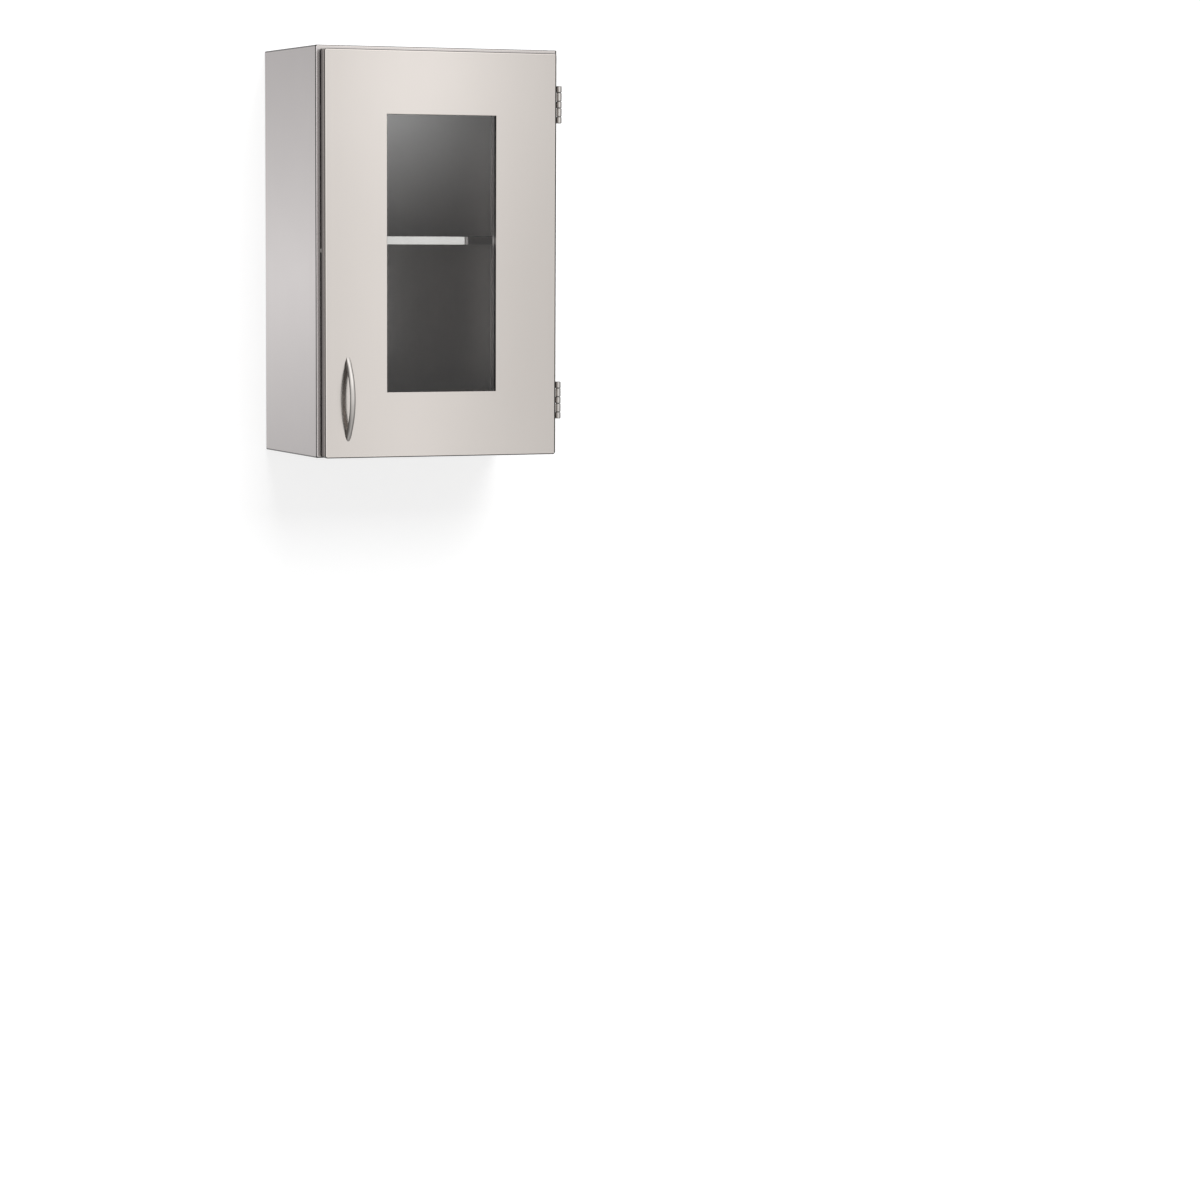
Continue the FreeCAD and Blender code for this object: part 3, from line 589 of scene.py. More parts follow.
def add_block(mesh: BMesh, low: Vector, high: Vector) -> None:
    """Add a box between its lowest and highest corners."""
    place = Matrix.Translation((low + high) / 2) @ Matrix.Diagonal((*(high - low), 1.0))
    bmesh.ops.create_cube(mesh, size=1.0, matrix=place)


def edges_of(verts: list[BMVert]) -> list[BMEdge]:
    """Edges that touch any of the vertices, each once."""
    return list(dict.fromkeys(edge for vert in verts for edge in vert.link_edges))


def sharp_edges(edges: Sequence[BMEdge]) -> list[BMEdge]:
    """Edges whose two faces meet at a sharp angle."""
    return [edge for edge in edges
            if len(edge.link_faces) == 2 and edge.calc_face_angle(0.0) > SHARP_ANGLE]


def ease(mesh: BMesh, edges: list[BMEdge], width: float, segments: int = 2) -> None:
    """Round edges over a width in metres."""
    bmesh.ops.bevel(mesh, geom=edges, offset=width, offset_type="OFFSET", affect="EDGES", segments=segments,
                    profile=0.5, material=-1, clamp_overlap=True)


def quarter_turn(steps: int) -> list[float]:
    """Angles from 0 to a right angle in even steps."""
    return [math.pi / 2 * step / steps for step in range(steps + 1)]


def turned(mesh: BMesh, outline: list[tuple[float, float]], place: Matrix, steps: int,
           closed: bool = False) -> list[BMVert]:
    """Turn an outline on a lathe.

    Args:
        mesh: Mesh to add to.
        outline: Radius and height of each point.
        place: Where the turned shape goes; its axis is the local z.
        steps: Number of steps round the axis.
        closed: Whether the outline closes on itself.

    Returns:
        The vertices of the turned shape, in place.
    """
    before = set(mesh.verts)
    points = [mesh.verts.new((radius, 0.0, height)) for radius, height in outline]
    pairs = list(zip(points, points[1:])) + ([(points[-1], points[0])] if closed else [])
    lines = [mesh.edges.new(pair) for pair in pairs]
    bmesh.ops.spin(mesh, geom=points + lines, cent=(0, 0, 0), axis=(0, 0, 1), dvec=(0, 0, 0),
                   angle=2 * math.pi, steps=steps, use_merge=True, use_duplicate=False)
    fresh = [vert for vert in mesh.verts if vert not in before]
    bmesh.ops.remove_doubles(mesh, verts=fresh, dist=NEAR)
    fresh = [vert for vert in mesh.verts if vert not in before]
    bmesh.ops.transform(mesh, matrix=place, verts=fresh)
    return fresh


def facing(direction: Vector, place: Vector) -> Matrix:
    """Placement whose local z runs along a direction."""
    return Matrix.Translation(place) @ direction.to_track_quat("Z", "Y").to_matrix().to_4x4()


def islands_of(node: str) -> list[tuple[Vector, Vector]]:
    """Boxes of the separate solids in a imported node.

    Args:
        node: Name of the node.

    Returns:
        Lowest and highest corner of each solid.
    """
    copy = bmesh.new()
    copy.from_mesh(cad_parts[node].data)
    bmesh.ops.remove_doubles(copy, verts=copy.verts, dist=NEAR)
    boxes, seen = [], set()
    for start in copy.verts:
        if start in seen:
            continue
        pile, island = [start], []
        seen.add(start)
        while pile:
            vert = pile.pop()
            island.append(vert.co)
            for edge in vert.link_edges:
                other = edge.other_vert(vert)
                if other not in seen:
                    seen.add(other)
                    pile.append(other)
        boxes.append((Vector(map(min, *island)), Vector(map(max, *island))))
    copy.free()
    return boxes


@dataclass
class BowHandle:
    """Crescent pull at the lower left of the door, thickest in the middle and thin at its feet.

    The stations along it crowd towards its feet, and the last of them are closed just short of its ends.
    """

    bar: float = 0.007
    foot: float = 0.021
    stations: int = 72
    crowding: float = 0.97
    end_share: float = 0.997
    ring_points: int = 32
    fullness: float = 2.1
    tip_power: int = 10

    def arc(self, chord: float, rise: float, along: float) -> float:
        """Height of an arc over its chord.

        Args:
            chord: Half of the chord.
            rise: Height of the arc at its middle.
            along: Place along the chord, from its middle.

        Returns:
            The height, 0 past the ends.
        """
        radius = (chord ** 2 + rise ** 2) / (2 * rise)
        if abs(along) >= chord:
            return 0.0
        return math.sqrt(radius ** 2 - along ** 2) - (radius - rise)

    def ring(self, mesh: BMesh, middle: Vector, size: Vector, share: float) -> list[BMEdge]:
        """Add one section of the bar.

        Args:
            mesh: Mesh to add to.
            middle: Middle of the handle on the door's face.
            size: Width, rise and span of the handle.
            share: Place along the handle, from -1 to 1.

        Returns:
            Edges of the section.
        """
        along = share * size.z / 2
        outer = self.arc(size.z / 2, size.y, along)
        inner = self.arc(size.z / 2 - self.foot, size.y - self.bar, along)
        half_width = size.x / 2 * math.sqrt(1.0 - abs(share) ** self.tip_power)
        circle = bmesh.ops.create_circle(mesh, cap_ends=False, segments=self.ring_points, radius=1.0)
        for vert in circle["verts"]:
            across, out = (math.copysign(abs(part) ** (2 / self.fullness), part) for part in vert.co.xy)
            height = (outer + inner) / 2 + out * (outer - inner) / 2
            vert.co = middle + Vector((across * half_width, -height, along))
        return edges_of(circle["verts"])

    def shape(self) -> BMesh:
        """Loft the bar from foot to foot.

        Returns:
            The bar, in place.
        """
        low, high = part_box("handle")
        size = high - low
        middle = Vector(((low.x + high.x) / 2, high.y, (low.z + high.z) / 2))
        mesh = bmesh.new()
        places = [2 * step / self.stations - 1 for step in range(self.stations + 1)]
        shares = [math.sin(math.pi / 2 * place * self.crowding) for place in places]
        rings = [self.ring(mesh, middle, size, share / shares[-1] * self.end_share) for share in shares]
        for first, second in zip(rings, rings[1:]):
            bmesh.ops.bridge_loops(mesh, edges=first + second)
        bmesh.ops.holes_fill(mesh, edges=[edge for edge in mesh.edges if edge.is_boundary], sides=0)
        return mesh

    def build(self, stock: Stock) -> None:
        """Make the handle."""
        stock.set_piece("bow_handle", self.shape(), "handle_satin", Body.DOOR, "handle")


@dataclass
class KnuckleHinge:
    """Five-knuckle butt hinge: a leaf rolled round the pin on the carcase and a leaf on the door."""

    where: str
    body_knuckle: float = 0.0121
    gap: float = 0.0005
    leaf_wall: float = 0.0019
    leaf_setback: float = 0.0014
    door_plate: float = 0.024
    tab_overlap: float = 0.001
    rim_edge: float = 0.0015
    rim_steps: int = 3
    plate_edge: float = 0.0003
    curl_steps: int = 36
    curl_angle: float = 322.0
    pin_play: float = 0.00008
    pin_dome: float = 0.0012
    pin_steps: int = 28
    dome_steps: int = 5

    def __post_init__(self) -> None:
        """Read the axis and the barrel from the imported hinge."""
        self.body_node = self.where + "_hinge_body_leaf"
        self.door_node = self.where + "_hinge_door_leaf"
        self.pin_node = self.where + "_hinge_pin"
        pin_low, pin_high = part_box(self.pin_node)
        self.axis = (pin_low + pin_high) / 2
        self.low, self.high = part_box(self.body_node)
        self.barrel = self.high.x - self.axis.x
        self.bore = self.barrel - self.leaf_wall

    def spans(self) -> tuple[list[Span], list[Span]]:
        """Share the hinge's height out between its knuckles.

        Returns:
            Low and high ends of the carcase's knuckles, and of the door's.
        """
        height = self.high.z - self.low.z
        door_knuckle = (height - 3 * self.body_knuckle - 4 * self.gap) / 2
        ends, at = [], self.low.z
        for length in (self.body_knuckle, door_knuckle) * 2 + (self.body_knuckle,):
            ends.append((at, at + length))
            at += length + self.gap
        return ends[0::2], ends[1::2]

    def rims(self, edges: Sequence[BMEdge]) -> list[BMEdge]:
        """Find the edges round the ends of the knuckles.

        Args:
            edges: Edges to look through.

        Returns:
            Level sharp edges on the outside of the barrel.
        """
        least = self.barrel - self.plate_edge
        return [edge for edge in sharp_edges(edges)
                if all((vert.co - self.axis).xy.length > least and vert.co.x > self.axis.x - self.barrel
                       for vert in edge.verts) and abs(edge.verts[0].co.z - edge.verts[1].co.z) < self.gap]

    def curl(self, mesh: BMesh, span: Span, edge_x: float) -> None:
        """Draw a tab out of the plate's edge and roll it round the pin.

        Args:
            mesh: Mesh that holds the plate.
            span: Low and high end of the tab.
            edge_x: Place of the plate's edge.
        """
        low, high = span
        end = [face for face in mesh.faces
               if face.normal.x > FACING and low < face.calc_center_median().z < high]
        grown = bmesh.ops.extrude_face_region(mesh, geom=end)["geom"]
        verts = [item for item in grown if isinstance(item, BMVert)]
        bmesh.ops.delete(mesh, geom=[face for face in end if face.is_valid], context="FACES_ONLY")
        bmesh.ops.translate(mesh, vec=(self.axis.x - edge_x, 0, 0), verts=verts)
        tip = [item for item in grown if isinstance(item, BMFace)]
        bmesh.ops.spin(mesh, geom=tip, cent=self.axis, axis=(0, 0, 1), dvec=(0, 0, 0),
                       angle=-math.radians(self.curl_angle), steps=self.curl_steps, use_duplicate=False)

    def body_leaf(self) -> BMesh:
        """Shape the plate on the stile with three tabs curled round the pin.

        Returns:
            The leaf, in place.
        """
        tabs = self.spans()[0]
        edge_x = self.axis.x - self.barrel - self.leaf_setback
        mesh = bmesh.new()
        add_block(mesh, Vector((self.low.x, self.high.y - self.leaf_wall, self.low.z)),
                  Vector((edge_x, self.high.y, self.high.z)))
        for cut in sorted(end for span in tabs for end in span)[1:-1]:
            bmesh.ops.bisect_plane(mesh, geom=mesh.verts[:] + mesh.edges[:] + mesh.faces[:],
                                   plane_co=(0, 0, cut), plane_no=(0, 0, 1), dist=NEAR)
        for span in tabs:
            self.curl(mesh, span, edge_x)
        bmesh.ops.recalc_face_normals(mesh, faces=mesh.faces)
        ease(mesh, self.rims(mesh.edges[:]), self.rim_edge, self.rim_steps)
        ease(mesh, sharp_edges(mesh.edges[:]), self.plate_edge)
        return mesh

    def door_leaf(self) -> BMesh:
        """Shape the plate inside the door with two tabs that carry closed knuckles.

        Returns:
            The leaf, in place.
        """
        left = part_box(self.door_node)[0].x
        plate_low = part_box("door_hinge_backing_plates")[1].y
        plate_high = plate_low + self.leaf_wall
        edge_x = left + self.door_plate
        mesh = bmesh.new()
        add_block(mesh, Vector((left, plate_low, self.low.z)), Vector((edge_x, plate_high, self.high.z)))
        for start, end in self.spans()[1]:
            add_block(mesh, Vector((edge_x - self.tab_overlap, plate_low, start)),
                      Vector((self.axis.x - self.bore, plate_high, end)))
        ease(mesh, sharp_edges(mesh.edges[:]), self.plate_edge)
        place = Matrix.Translation((self.axis.x, self.axis.y, 0.0))
        for start, end in self.spans()[1]:
            outline = [(self.bore, start), (self.barrel, start), (self.barrel, end), (self.bore, end)]
            ring = turned(mesh, outline, place, self.curl_steps, closed=True)
            ease(mesh, self.rims(edges_of(ring)), self.rim_edge, self.rim_steps)
        return mesh

    def pin(self) -> BMesh:
        """Turn the pin with domed ends that fills the curl.

        Returns:
            The pin, in place.
        """
        radius = self.bore - self.pin_play
        shoulder = (self.high.z - self.low.z) / 2 - self.pin_dome
        dome = [(radius * math.cos(turn), shoulder + self.pin_dome * math.sin(turn))
                for turn in quarter_turn(self.dome_steps)]
        outline = [(part, -height) for part, height in reversed(dome)] + dome
        mesh = bmesh.new()
        turned(mesh, outline, Matrix.Translation(self.axis), self.pin_steps)
        return mesh

    def build(self, stock: Stock) -> None:
        """Make the two leaves and the pin.

        Args:
            stock: Finishes to take from.
        """
        for name, mesh, finish, body, node in (
            ("_rolled_leaf", self.body_leaf(), "hinge_satin", Body.CABINET, self.body_node),
            ("_swing_leaf", self.door_leaf(), "hinge_satin", Body.DOOR, self.door_node),
            ("_turned_pin", self.pin(), "fastener_bright", Body.CABINET, self.pin_node),
        ):
            stock.set_piece(self.where + name, mesh, finish, body, node)


@dataclass
class CrossScrews:
    """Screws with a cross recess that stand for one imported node."""

    node: str
    body: Body
    form: HeadForm
    towards: Vector
    head_depth: float
    shank: float = 0.002
    tip_share: float = 0.75
    tip_length: float = 0.0008
    rim_share: float = 0.45
    crown_steps: int = 6
    crown_top: int = 4
    flat_rim: float = 0.0002
    proud: float = 0.00012
    lid_reach: float = 0.004
    lid_play: float = 1e-5
    slot_width: float = 0.0010
    slot_reach: float = 0.0021
    slot_depth: float = 0.0011
    slot_taper: float = 0.72
    steps: int = 24

    def head_outline(self, radius: float) -> list[tuple[float, float]]:
        """Draw the head from its neck to the middle of its top.

        Args:
            radius: Radius of the head.

        Returns:
            Radius and height of each point.
        """
        if self.form is HeadForm.FLAT:
            neck, seat = (self.shank, -self.head_depth), (radius, -self.flat_rim)
            return [neck, seat, (radius, self.proud), (0.0, self.proud)]
        rim, crown = self.head_depth * self.rim_share, self.head_depth * (1.0 - self.rim_share)
        dome = [(radius * math.cos(turn), rim + crown * math.sin(turn))
                for turn in quarter_turn(self.crown_steps)[:self.crown_top + 1]]
        return [(self.shank, 0.0), (radius, 0.0), *dome, (0.0, dome[-1][1])]

    def recess(self, mesh: BMesh, place: Matrix, top: float) -> None:
        """Press the cross recess into the flat on top of a head.

        Args:
            mesh: Mesh that holds the head.
            place: Placement of the screw.
            top: Height of the flat over the head's seat.
        """
        axis = place.to_quaternion() @ Vector((0, 0, 1))
        centre = place @ Vector((0, 0, top))
        lid = [face for face in mesh.faces
               if face.normal.dot(axis) > FACING
               and (face.calc_center_median() - centre).length < self.lid_reach
               and abs((face.calc_center_median() - centre).dot(axis)) < self.lid_play]
        flat = bmesh.ops.dissolve_faces(mesh, faces=lid)["region"]
        sides = [place.to_quaternion() @ Vector(way) for way in ((1, 0, 0), (0, 1, 0))]
        for side in sides:
            for offset in (-self.slot_reach, -self.slot_width / 2, self.slot_width / 2, self.slot_reach):
                geom = [*flat, *dict.fromkeys(edge for face in flat for edge in face.edges),
                        *dict.fromkeys(vert for face in flat for vert in face.verts)]
                cut = bmesh.ops.bisect_plane(mesh, geom=geom, plane_co=centre + side * offset,
                                             plane_no=side, dist=NEAR)["geom"]
                flat = [item for item in cut if isinstance(item, BMFace)]
        arms = []
        for face in flat:
            reach = face.calc_center_median() - centre
            across, along = sorted(abs(reach.dot(side)) for side in sides)
            if across < self.slot_width / 2 and along < self.slot_reach:
                arms.append(face)
        sunk = bmesh.ops.extrude_face_region(mesh, geom=arms)["geom"]
        verts = [item for item in sunk if isinstance(item, BMVert)]
        bmesh.ops.delete(mesh, geom=[face for face in arms if face.is_valid], context="FACES_ONLY")
        bmesh.ops.translate(mesh, vec=-axis * self.slot_depth, verts=verts)
        middle = centre - axis * self.slot_depth
        taper = Matrix.Translation(middle) @ Matrix.Scale(self.slot_taper, 4) @ Matrix.Translation(-middle)
        bmesh.ops.transform(mesh, matrix=taper, verts=verts)

    def screw(self, mesh: BMesh, low: Vector, high: Vector) -> None:
        """Add one screw.

        Args:
            mesh: Mesh to add to.
            low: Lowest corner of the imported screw.
            high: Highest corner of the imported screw.
        """
        axis = max(range(3), key=lambda way: abs(self.towards[way]))
        size = high - low
        radius = max(size[way] for way in range(3) if way != axis) / 2
        point, end = sorted((low[axis], high[axis]), key=lambda value: value * self.towards[axis])
        top = 0.0 if self.form is HeadForm.FLAT else self.head_depth
        seat = (low + high) / 2
        seat[axis] = end - top * self.towards[axis]
        length = abs(end - point) - top
        place = facing(self.towards, seat)
        tip = [(0.0, -length), (self.shank * self.tip_share, -length),
               (self.shank, -length + self.tip_length)]
        head = self.head_outline(radius)
        turned(mesh, tip + head, place, self.steps)
        bmesh.ops.recalc_face_normals(mesh, faces=mesh.faces)
        self.recess(mesh, place, head[-1][1])

    def build(self, stock: Stock) -> None:
        """Make every screw of the node as one piece.

        Args:
            stock: Finishes to take from.
        """
        mesh = bmesh.new()
        for low, high in islands_of(self.node):
            self.screw(mesh, low, high)
        stock.set_piece("cross_" + self.node, mesh, "fastener_bright", self.body, self.node)


@dataclass
class Carcase:
    """Folded body of the cabinet with its rails, shelf standards and clips."""

    sides: tuple[str, ...] = ("left_side_panel", "right_side_panel")
    levels: tuple[str, ...] = ("top_panel", "bottom_panel", "lower_hanging_rail", "upper_hanging_rail")
    fittings: tuple[str, ...] = ("shelf_clips", "body_hinge_backing_plates", "standard_left_front",
                                 "standard_left_rear", "standard_right_front", "standard_right_rear")

    def build(self, stock: Stock) -> None:
        """Dress the panels and the fittings on them.

        Args:
            stock: Finishes to take from.
        """
        stock.dress("carcase_satin", *self.sides)
        stock.dress("carcase_level", *self.levels)
        stock.dress("back_sheet", "back_panel")
        stock.dress("hardware_mill", *self.fittings)


@dataclass
class Door:
    """Glazed door: a folded pan, its lining, the pane in its rubber seat, the handle and the strike."""

    fittings: tuple[str, ...] = ("strike_plate", "door_hinge_backing_plates")

    def build(self, stock: Stock) -> None:
        """Dress the door's nodes and make its handle.

        Args:
            stock: Finishes to take from.
        """
        stock.dress("door_polish", "door_outer_panel")
        stock.dress("lining_satin", "door_inner_panel")
        stock.dress("float_glass", "glass_pane")
        stock.dress("gasket_black", "glazing_gasket")
        stock.dress("hardware_mill", *self.fittings)
        BowHandle().build(stock)


@dataclass
class Shelf:
    """Folded shelf pan on its clips."""

    node: str = "shelf"

    def build(self, stock: Stock) -> None:
        """Dress the shelf."""
        stock.dress("shelf_polish", self.node)


@dataclass
class MagneticCatch:
    """Catch behind the handle: magnet and poles in a moulded housing."""

    housing: str = "catch_housing"
    magnet: str = "catch_magnet"
    poles: str = "catch_pole_plates"

    def build(self, stock: Stock) -> None:
        """Dress the catch's parts.

        Args:
            stock: Finishes to take from.
        """
        stock.dress("catch_ivory", self.housing)
        stock.dress("magnet_grey", self.magnet)
        stock.dress("hardware_mill", self.poles)


@dataclass
class Bumper:
    """Soft stop between the door and the left stile."""

    edge: float = 0.0015
    edge_steps: int = 5
    dimple: float = 0.0004
    dimple_share: float = 0.3
    steps: int = 32

    def build(self, stock: Stock) -> None:
        """Make the domed bumper.

        Args:
            stock: Finishes to take from.
        """
        low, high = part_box("door_bumper")
        radius, height = (high.x - low.x) / 2, high.y - low.y
        base = Vector(((low.x + high.x) / 2, high.y, (low.z + high.z) / 2))
        inner, shoulder = radius - self.edge, height - self.edge
        rim = [(inner + self.edge * math.cos(turn), shoulder + self.edge * math.sin(turn))
               for turn in quarter_turn(self.edge_steps)]
        hollow = height - self.dimple
        outline = [(0.0, 0.0), (radius, 0.0), *rim, (radius * self.dimple_share, hollow), (0.0, hollow)]
        mesh = bmesh.new()
        turned(mesh, outline, facing(Vector((0, -1, 0)), base), self.steps)
        stock.set_piece("domed_bumper", mesh, "bumper_grey", Body.CABINET, "door_bumper")


@dataclass
class Camera:
    """Camera at the photograph's viewpoint, found from the corners of the carcase.

    Its angles are in degrees, and its focal length is a share of the picture's width.
    """

    place: Place = (-2.523, -7.036, 0.037)
    yaw: float = 22.985
    pitch: float = -5.46
    roll: float = 0.27
    focal_share: float = 3818.0 / 1200.0
    sensor: float = 36.0

    def build(self) -> None:
        """Set the camera up."""
        yaw, pitch, roll = (math.radians(angle) for angle in (self.yaw, self.pitch, self.roll))
        level = Vector((math.sin(yaw), math.cos(yaw), 0.0))
        right = Vector((math.cos(yaw), -math.sin(yaw), 0.0))
        ahead = level * math.cos(pitch) + Vector((0, 0, math.sin(pitch)))
        upward = Vector((0, 0, math.cos(pitch))) - level * math.sin(pitch)
        across = right * math.cos(roll) + upward * math.sin(roll)
        upward = upward * math.cos(roll) - right * math.sin(roll)
        data = bpy.data.cameras.new("viewpoint")
        data.sensor_width = self.sensor
        data.lens = self.focal_share * self.sensor
        camera = put("viewpoint", data)
        turn = Matrix((across, upward, -ahead)).transposed().to_4x4()
        camera.matrix_world = Matrix.Translation(self.place) @ turn
        bpy.context.scene.camera = camera


@dataclass(frozen=True)
class Lamp:
    """Soft box aimed at a point."""

    name: str
    place: Place
    aim: Place
    width: float
    height: float
    power: float

    def build(self) -> None:
        """Hang the lamp."""
        data = bpy.data.lights.new(self.name, "AREA")
        data.shape = "RECTANGLE"
        data.size, data.size_y = self.width, self.height
        data.energy = self.power
        lamp = put(self.name, data)
        lamp.location = self.place
        lamp.rotation_mode = "QUATERNION"
        lamp.rotation_quaternion = (Vector(self.aim) - Vector(self.place)).to_track_quat("-Z", "Y")
        lamp.visible_camera = lamp.visible_glossy = lamp.visible_transmission = False


@dataclass(frozen=True)
class GlowCard:
    """Soft bright card that fades towards its rim and shows only in the polished pieces."""

    name: str
    place: Place
    aim: Place
    width: float
    height: float
    strength: float

    def material(self) -> Material:
        """Make a glow that lets through what is behind it.

        Returns:
            The card's material.
        """
        board = MaterialBoard(self.name)
        spot = board.add("ShaderNodeTexCoord").outputs["UV"]
        centred = board.add("ShaderNodeMapping", {"Vector": spot, "Location": (-1.0, -1.0, 0.0),
                                                  "Scale": (2.0, 2.0, 1.0)}).outputs[0]
        fade = board.add("ShaderNodeTexGradient", {"Vector": centred}, gradient_type="QUADRATIC_SPHERE")
        level = board.reckon("MULTIPLY", fade.outputs[1], self.strength)
        sharp = board.add("ShaderNodeLightPath").outputs["Is Singular Ray"]
        level = board.reckon("MULTIPLY", level, board.reckon("SUBTRACT", 1.0, sharp))
        glow = board.add("ShaderNodeEmission", {"Strength": level}).outputs[0]
        clear = board.add("ShaderNodeBsdfTransparent").outputs[0]
        return board.close(board.add("ShaderNodeAddShader", {0: glow, 1: clear}).outputs[0])

    def build(self) -> None:
        """Hang the card."""
        mesh = bmesh.new()
        mesh.loops.layers.uv.new("card")
        place = facing(Vector(self.aim) - Vector(self.place), Vector(self.place))
        place = place @ Matrix.Diagonal((self.width / 2, self.height / 2, 1.0, 1.0))
        bmesh.ops.create_grid(mesh, x_segments=1, y_segments=1, size=1.0, matrix=place, calc_uvs=True)
        card = put(self.name, as_data(self.name, mesh, self.material()))
        card.visible_camera = card.visible_diffuse = card.visible_transmission = card.visible_shadow = False


@dataclass
class Studio:
    """White wall and pale floor, each seen from its front only, and soft light.

    Bearings are in degrees from straight ahead of the door, with a level each. Heights are the upward part
    of a direction, with a share of that level. Inner bearings are for light that has been through the pane
    and back.
    """

    floor_level: float = -1.5
    wall_gap: float = 0.002
    reach: float = 9.0
    wall_glow: float = 0.72
    floor_glow: float = 0.80
    paint: float = 0.36
    daylight: float = 0.5
    bearings: Stops = (
        (-180.0, 0.55), (-155.0, 0.54), (-132.0, 0.50), (-100.0, 0.50), (-70.0, 0.54), (-40.0, 0.76),
        (-20.0, 0.84), (-4.0, 0.92), (8.0, 0.98), (20.0, 0.82), (32.0, 0.66), (60.0, 0.55), (90.0, 0.55),
        (120.0, 0.58), (150.0, 0.60), (180.0, 0.55))
    heights: Stops = (
        (-1.0, 0.52), (-0.6, 0.62), (-0.3, 0.86), (-0.1, 0.98), (0.0, 1.0), (0.2, 1.02), (0.5, 1.25),
        (1.0, 1.3))
    sharp_share: float = 0.6
    window_bearing: float = 19.7
    window_rise: float = 0.0366
    window_half_width: float = 2.9
    window_half_height: float = 0.045
    window_level: float = 3.4
    window_fade: float = 2.0
    inner_bearings: Stops = (
        (-180.0, 0.6), (-20.0, 0.6), (0.0, 0.04), (17.5, 0.02), (18.8, 0.92), (24.0, 0.92), (27.0, 0.3),
        (60.0, 0.6), (180.0, 0.6))
    inner_depth: float = 3.5
    first_bounce: float = 0.5
    lamp: Lamp = Lamp("key_box", (0.42, -3.6, 2.2), (0.0, -0.15, 0.0), 2.6, 2.6, 178.0)
    cards: tuple[GlowCard, ...] = (
        GlowCard("side_card", (-0.56, 0.75, -0.06), (-0.24, -0.15, -0.05), 1.5, 1.7, 0.45),
        GlowCard("tall_card", (0.20, -1.07, 0.0), (-0.07, -0.32, 0.0), 0.9, 8.0, 0.26),
        GlowCard("high_card", (0.26, -1.07, 0.38), (-0.01, -0.32, 0.35), 1.0, 1.0, 0.19))

    def backdrop_material(self, name: str, level: float) -> Material:
        """White surface that keeps soft shadows and vanishes when it is seen from behind.

        Args:
            name: Name of the material.
            level: Light of its own.

        Returns:
            The material.
        """
        board = MaterialBoard(name)
        glow = board.add("ShaderNodeEmission", {"Strength": level}).outputs[0]
        paint = board.add("ShaderNodeBsdfDiffuse", {"Color": (self.paint,) * 3 + (1.0,)}).outputs[0]
        lit = board.add("ShaderNodeAddShader", {0: glow, 1: paint}).outputs[0]
        behind = board.add("ShaderNodeNewGeometry").outputs["Backfacing"]
        clear = board.add("ShaderNodeBsdfTransparent").outputs[0]
        return board.close(board.add("ShaderNodeMixShader", {0: behind, 1: lit, 2: clear}).outputs[0])

    def sheet(self, name: str, place: Matrix, level: float) -> None:
        """Add one flat backdrop.

        Args:
            name: Name of the backdrop.
            place: Where it goes, facing along its local z.
            level: Light of its own.
        """
        mesh = bmesh.new()
        bmesh.ops.create_grid(mesh, x_segments=4, y_segments=4, size=self.reach, matrix=place)
        item = put(name, as_data(name, mesh, self.backdrop_material(name, level)))
        item.visible_diffuse = item.visible_glossy = item.visible_shadow = False

    def around(self, board: Board, bearing: NodeSocket, levels: Stops) -> NodeSocket:
        """Level at a bearing, which is a share of a full turn."""
        return board.grade(bearing, [(0.5 + degrees / 360.0, level) for degrees, level in levels])

    def window(self, board: Board, bearing: NodeSocket, rise: NodeSocket) -> NodeSocket:
        """Bright far window that shows in the pane.

        Args:
            board: Node tree of the surroundings.
            bearing: Share of a full turn that a ray's bearing makes.
            rise: Upward part of the ray's direction.

        Returns:
            Level of the window, 0 outside it.
        """
        centre = 0.5 + self.window_bearing / 360.0
        half_turn = self.window_half_width / 360.0
        across = board.spread(bearing, -1.0, 1.0, centre - half_turn, centre + half_turn)
        up = board.spread(rise, -1.0, 1.0, self.window_rise - self.window_half_height,
                          self.window_rise + self.window_half_height)
        spot = board.add("ShaderNodeCombineXYZ", {0: across, 1: up}).outputs[0]
        off = board.add("ShaderNodeVectorMath", {0: spot}, operation="LENGTH").outputs[1]
        near = board.reckon("MAXIMUM", board.reckon("SUBTRACT", 1.0, off), 0.0)
        return board.reckon("MULTIPLY", board.reckon("POWER", near, self.window_fade), self.window_level)

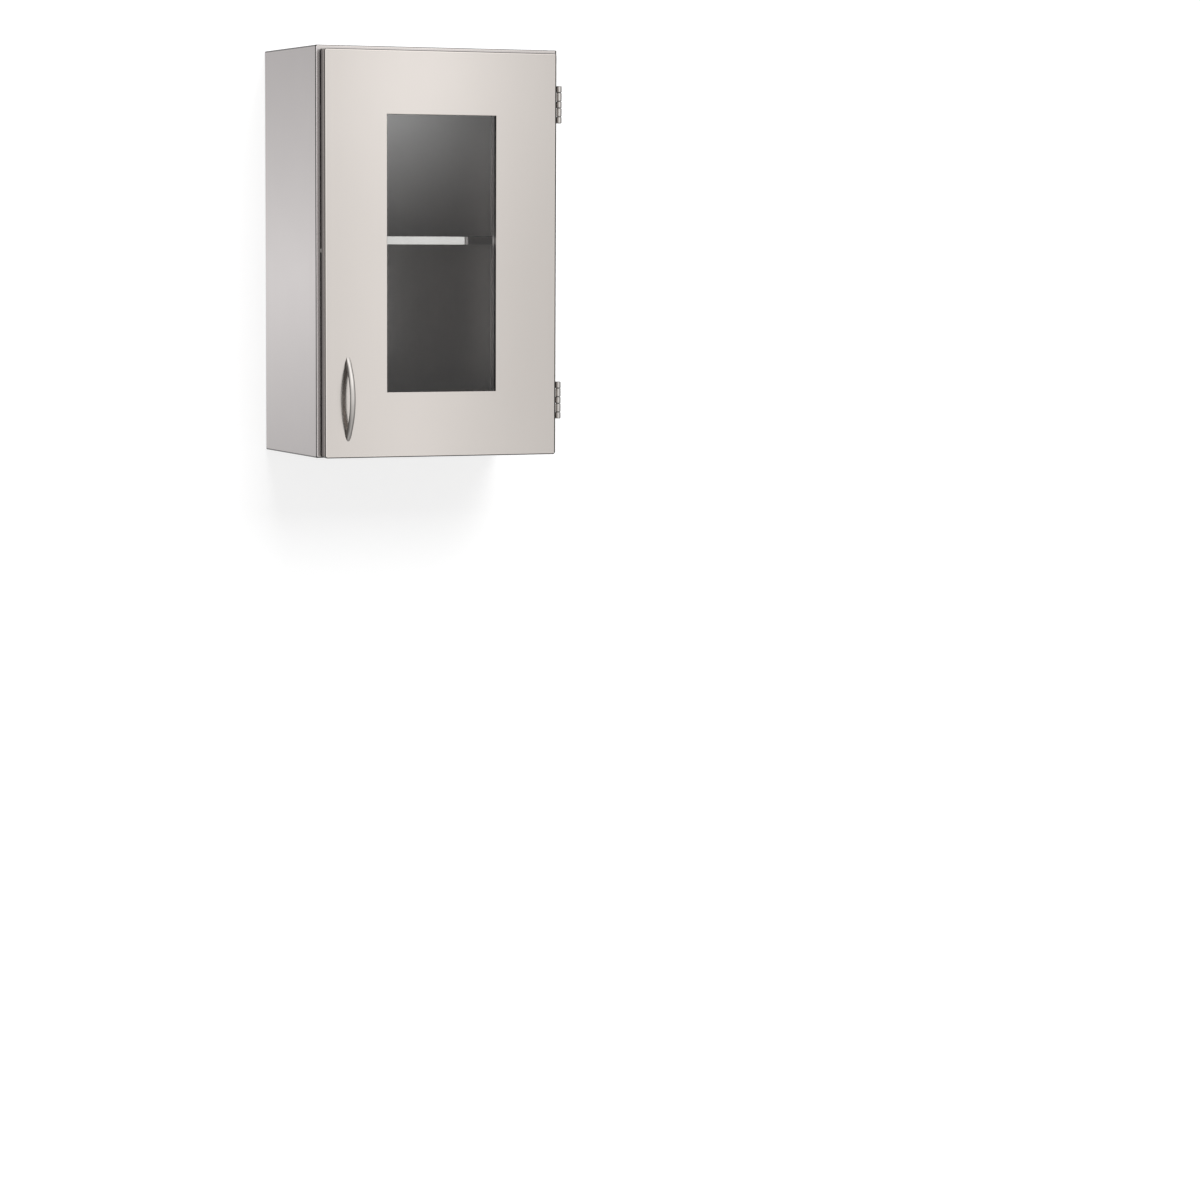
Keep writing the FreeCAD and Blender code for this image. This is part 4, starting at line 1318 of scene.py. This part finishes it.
    def world(self) -> None:
        """White surroundings for the camera and the polished pieces, softer for the rest."""
        world = bpy.data.worlds.new("studio")
        world.use_nodes = True
        bpy.context.scene.world = world
        board = Board(world.node_tree)
        x, y, z = board.parts(board.add("ShaderNodeTexCoord").outputs["Generated"])
        turn = board.reckon("ARCTAN2", x, board.reckon("MULTIPLY", y, -1.0))
        bearing = board.spread(turn, 0.0, 1.0, -math.pi, math.pi)
        height = board.spread(z, 0.0, 1.0, -1.0, 1.0)
        tiers = board.grade(height, [(0.5 + rise / 2.0, level) for rise, level in self.heights])
        graded = board.reckon("MULTIPLY", self.around(board, bearing, self.bearings), tiers)
        path = board.add("ShaderNodeLightPath").outputs
        sharp, through = path["Is Singular Ray"], path["Is Transmission Ray"]
        graded = board.reckon("MULTIPLY", graded, board.spread(sharp, 1.0, self.sharp_share))
        window = board.reckon("MULTIPLY", self.window(board, bearing, z), sharp)
        inside = board.reckon("GREATER_THAN", path["Transmission Depth"], self.inner_depth)
        inner = self.around(board, bearing, self.inner_bearings)
        graded = board.mix(inside, board.reckon("ADD", graded, window), inner)
        bounced = board.reckon("GREATER_THAN", path["Glossy Depth"], self.first_bounce)
        returned = board.reckon("MULTIPLY", bounced, through)
        direct = board.reckon("SUBTRACT", through, returned)
        mirrored = board.reckon("MAXIMUM", path["Is Glossy Ray"], returned)
        softer = board.mix(mirrored, self.daylight, graded)
        level = board.mix(board.reckon("MAXIMUM", path["Is Camera Ray"], direct), softer, 1.0)
        sky = board.add("ShaderNodeBackground", {"Color": (1.0, 1.0, 1.0, 1.0), "Strength": level})
        board.add("ShaderNodeOutputWorld", {"Surface": sky.outputs[0]})

    def build(self) -> None:
        """Put up the backdrops, the surroundings and the lamps."""
        upright = Matrix.Translation((0, self.wall_gap, 0)) @ Matrix.Rotation(math.pi / 2, 4, "X")
        self.sheet("white_wall", upright, self.wall_glow)
        self.sheet("pale_floor", Matrix.Translation((0, 0, self.floor_level)), self.floor_glow)
        self.world()
        for light in (self.lamp, *self.cards):
            light.build()
        bpy.context.scene.view_settings.view_transform = "Standard"


def build_fasteners(stock: Stock) -> None:
    """Make the screws of the handle, the hinges, the strike and the catch.

    Args:
        stock: Finishes to take from.
    """
    rear, front, right = Vector((0, 1, 0)), Vector((0, -1, 0)), Vector((1, 0, 0))
    for screws in (
        CrossScrews("handle_screws", Body.DOOR, HeadForm.PAN, rear, head_depth=0.0018),
        CrossScrews("door_hinge_screws", Body.DOOR, HeadForm.PAN, rear, head_depth=0.0018),
        CrossScrews("body_hinge_screws", Body.CABINET, HeadForm.FLAT, front, head_depth=0.0019),
        CrossScrews("strike_screws", Body.DOOR, HeadForm.FLAT, rear, head_depth=0.0012),
        CrossScrews("catch_screws", Body.CABINET, HeadForm.PAN, right, head_depth=0.0018),
    ):
        screws.build(stock)


def main() -> None:
    """Build the cabinet's looks, then the studio round it."""
    logging.basicConfig(level=logging.INFO, format="%(message)s")
    stock = Stock()
    for assembly in (Carcase(), Door(), Shelf(), MagneticCatch(), Bumper(),
                     KnuckleHinge("upper"), KnuckleHinge("lower")):
        assembly.build(stock)
    build_fasteners(stock)
    Camera().build()
    Studio().build()


if __name__ == "__main__":
    main()
